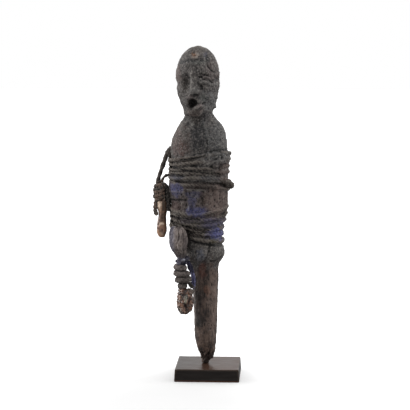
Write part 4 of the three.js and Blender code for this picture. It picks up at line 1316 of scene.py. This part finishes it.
def makeFigure():
    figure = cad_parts["figure"].copy()
    figure.data = figure.data.copy()
    figure.name = "figure_carving"
    for key in list(figure.keys()):
        del figure[key]
    figure.parent = None
    figure.data.materials.clear()
    bpy.context.scene.collection.objects.link(figure)
    activate(figure)
    bpy.ops.object.mode_set(mode="EDIT")
    bpy.ops.mesh.select_all(action="SELECT")
    bpy.ops.mesh.remove_doubles(threshold=0.005 * mm)
    bpy.ops.object.mode_set(mode="OBJECT")
    applyModifier(figure, "SUBSURF", levels=2, render_levels=2)
    stretchFigure(figure)
    fuse(figure, figureLook["voxel"], 5)
    stretchFigure(figure, back=True)
    points = readPoints(figure)
    pushOut(figure, carveHead(points) + carveBody(points) + carveStake(points))
    points, normals = readPoints(figure), readNormals(figure)
    x, _, z = points.T
    tuft = distances(points, figureLook["tuft"], figureLook["tuftReach"])
    crusted = rise(283, 288, z) * rise(-8, 2, x)
    crusted = crusted + 0.5 * rise(226, 232, z) * rise(248, 240, z) * rise(2, 8, x)
    flecksAndGlints = rise(0.5, 0.72, grains(points, 2.7, 115)) * crusted
    out = crustOver(points) + 0.4 * flecksAndGlints
    standing = hill(tuft, 0.55) * (1 + 0.5 * cloud(points, 1.6, 2, 116))
    points = points + normals * out[:, None] + np.outer(standing, (2.5, -0.4, 0))
    writePoints(figure, points)
    z = points[:, 2]
    writeMask(figure, "bareWood", rise(109, 102, z + 3 * cloud(points, 6, 3, 120)))
    tuftShade = 0.95 * hill(tuft, 0.9) * rise(258.5, 256.5, z)
    # painted shade inside the mouth, over its dark crust
    inMouth = rise(1.15, 0.6, distances(points, figureLook["mouth"], figureLook["mouthReach"]))
    paintPatches(figure, 1.0, [(0.6 * flecksAndGlints, (158, 155, 150)), (tuftShade, (26, 23, 25)),
                              (inMouth, (26, 12, 9))])
    dress(figure, "figure", woodMaterial, 1.0, 10)


# The plinth: a block of dark stained wood, its sides flaring a little, with softened edges.
plinthLook = {"side": 61.4, "height": 12, "draft": 0.7, "edge": 0.5}


def makePlinth():
    side, height = plinthLook["side"], plinthLook["height"]
    block = addPrimitive("plinth_block", bpy.ops.mesh.primitive_cube_add, size=1,
                         location=(0, 0, height / 2 * mm), scale=(side * mm, side * mm, height * mm))
    bpy.ops.object.mode_set(mode="EDIT")
    bpy.ops.mesh.select_all(action="DESELECT")
    bpy.ops.mesh.select_mode(type="FACE")
    bpy.ops.object.mode_set(mode="OBJECT")
    for face in block.data.polygons:
        face.select = face.normal.z > 0.5
    bpy.ops.object.mode_set(mode="EDIT")
    taper = 1 - 2 * plinthLook["draft"] / side
    bpy.ops.transform.resize(value=(taper, taper, 1))
    bpy.ops.object.mode_set(mode="OBJECT")
    applyModifier(block, "BEVEL", width=plinthLook["edge"] * mm, segments=4, limit_method="ANGLE")
    fuse(block, 0.55, 2)
    points = readPoints(block)
    x, _, z = points.T
    onTop = rise(0.6, 0.95, readNormals(block)[:, 2])
    # dust and painted sheen on the top, more towards the right; painted highlight along the foot
    writeMask(block, "dustAndSheen", onTop * (0.35 + 0.65 * rise(-30, 10, x)))
    writeMask(block, "foot", rise(2, 0.6, z))
    pushOut(block, 0.12 * cloud(points, 9, 3, 131) * rise(0.8, 2.5, z))
    dress(block, "plinth", plinthMaterial, 0, 8, 1.0, 40)


makeFigure()
makeWaistCloth()
makeUpperLashing()
makeWaistCord()
makeLowerLashing()
makePouch()
makePouchTie()
makeLowerBinding()
makePod()
makeBlueStrip()
makeShoulderKnot()
makeUpperBinding()
makeRod()
makePlinth()


# A white sweep of floor and soft studio light from both sides and above.
studio = {
    "floorSize": 12, "floor": (232, 232, 232),
    "glow": 0.09, "glowFrom": 0.03, "glowTo": 0.36, "dimmest": (-0.035, -0.11, 0),
    "front": 0.32, "sides": 0.8, "back": 1.1, "top": 0.55, "below": 0.3,
    "lamps": [
        {"name": "left_lamp", "place": (-0.75, 0.2, 0.4), "size": (0.4, 0.8), "power": 3},
        {"name": "left_strip", "place": (-0.8, -0.42, 0.42), "size": (0.1, 0.9), "power": 1.7},
        {"name": "right_lamp", "place": (0.8, 0.15, 0.45), "size": (0.5, 0.9), "power": 3},
        {"name": "top_lamp", "place": (0.05, -0.15, 1.3), "size": (1.0, 1.0), "power": 4},
    ],
    "aim": (0, 0, 0.17),
}


def paintFloor(start):                        # the sweep glows, dimmest near the plinth and brighter further out where it runs on out of sight: painted shade around the plinth
    offset = start.node("ShaderNodeVectorMath", {"operation": "SUBTRACT"},
                        {0: objectPlace(start), 1: studio["dimmest"]}, "Vector")
    away = start.node("ShaderNodeVectorMath", {"operation": "LENGTH"}, {0: offset}, "Value")
    glowing = away.rising(studio["glowFrom"], studio["glowTo"])
    return {"Emission Color": studio["glow"] + (1 - studio["glow"]) * glowing}


def makeStudio():
    floor = addPrimitive("studio_floor", bpy.ops.mesh.primitive_plane_add, size=studio["floorSize"])
    pale = newMaterial("pale floor", paintFloor, Base_Color=rgba(studio["floor"]), Roughness=0.9,
                       Emission_Strength=1.0)
    floor.data.materials.append(pale)
    floor.visible_diffuse = False
    floor.visible_glossy = False
    for lamp in studio["lamps"]:
        bpy.ops.object.light_add(type="AREA", location=lamp["place"])
        light = bpy.context.active_object
        light.name = lamp["name"]
        light.data.shape = "RECTANGLE"
        light.data.size, light.data.size_y = lamp["size"]
        light.data.energy = lamp["power"]
        aim = Vector(studio["aim"]) - light.location
        light.rotation_euler = aim.to_track_quat("-Z", "Y").to_euler()
        light.visible_camera = False
    world = bpy.data.worlds.new("soft studio")
    world.use_nodes = True
    tree = world.node_tree
    tree.nodes.clear()
    start = Signal(tree)
    toward = start.node("ShaderNodeTexCoord", {}, {}, "Generated")
    x, y, z = (start.node("ShaderNodeSeparateXYZ", {}, {"Vector": toward}, axis) for axis in "XYZ")
    beside = start.math("ABSOLUTE", x).rising(0.25, 0.85)
    behind = y.rising(-0.2, 0.9)
    above = z.rising(0.1, 0.9)
    strength = studio["front"] + behind * (studio["back"] - studio["front"])
    strength = strength + beside * (studio["sides"] - strength)
    strength = strength + above * (studio["top"] - strength)
    strength = strength + z.rising(0.02, -0.15) * (studio["below"] - strength)
    white = (1, 1, 1, 1)
    soft = start.node("ShaderNodeBackground", {}, {"Color": white, "Strength": strength}, "Background")
    plain = start.node("ShaderNodeBackground", {}, {"Color": white, "Strength": 1.0}, "Background")
    seen = start.node("ShaderNodeLightPath", {}, {}, "Is Camera Ray")
    both = start.node("ShaderNodeMixShader", {}, {0: seen, 1: soft, 2: plain}, "Shader")
    output = tree.nodes.new("ShaderNodeOutputWorld")
    tree.links.new(both.socket, output.inputs["Surface"])
    bpy.context.scene.world = world
    bpy.context.scene.view_settings.view_transform = "Standard"
    print("studio made")


makeStudio()
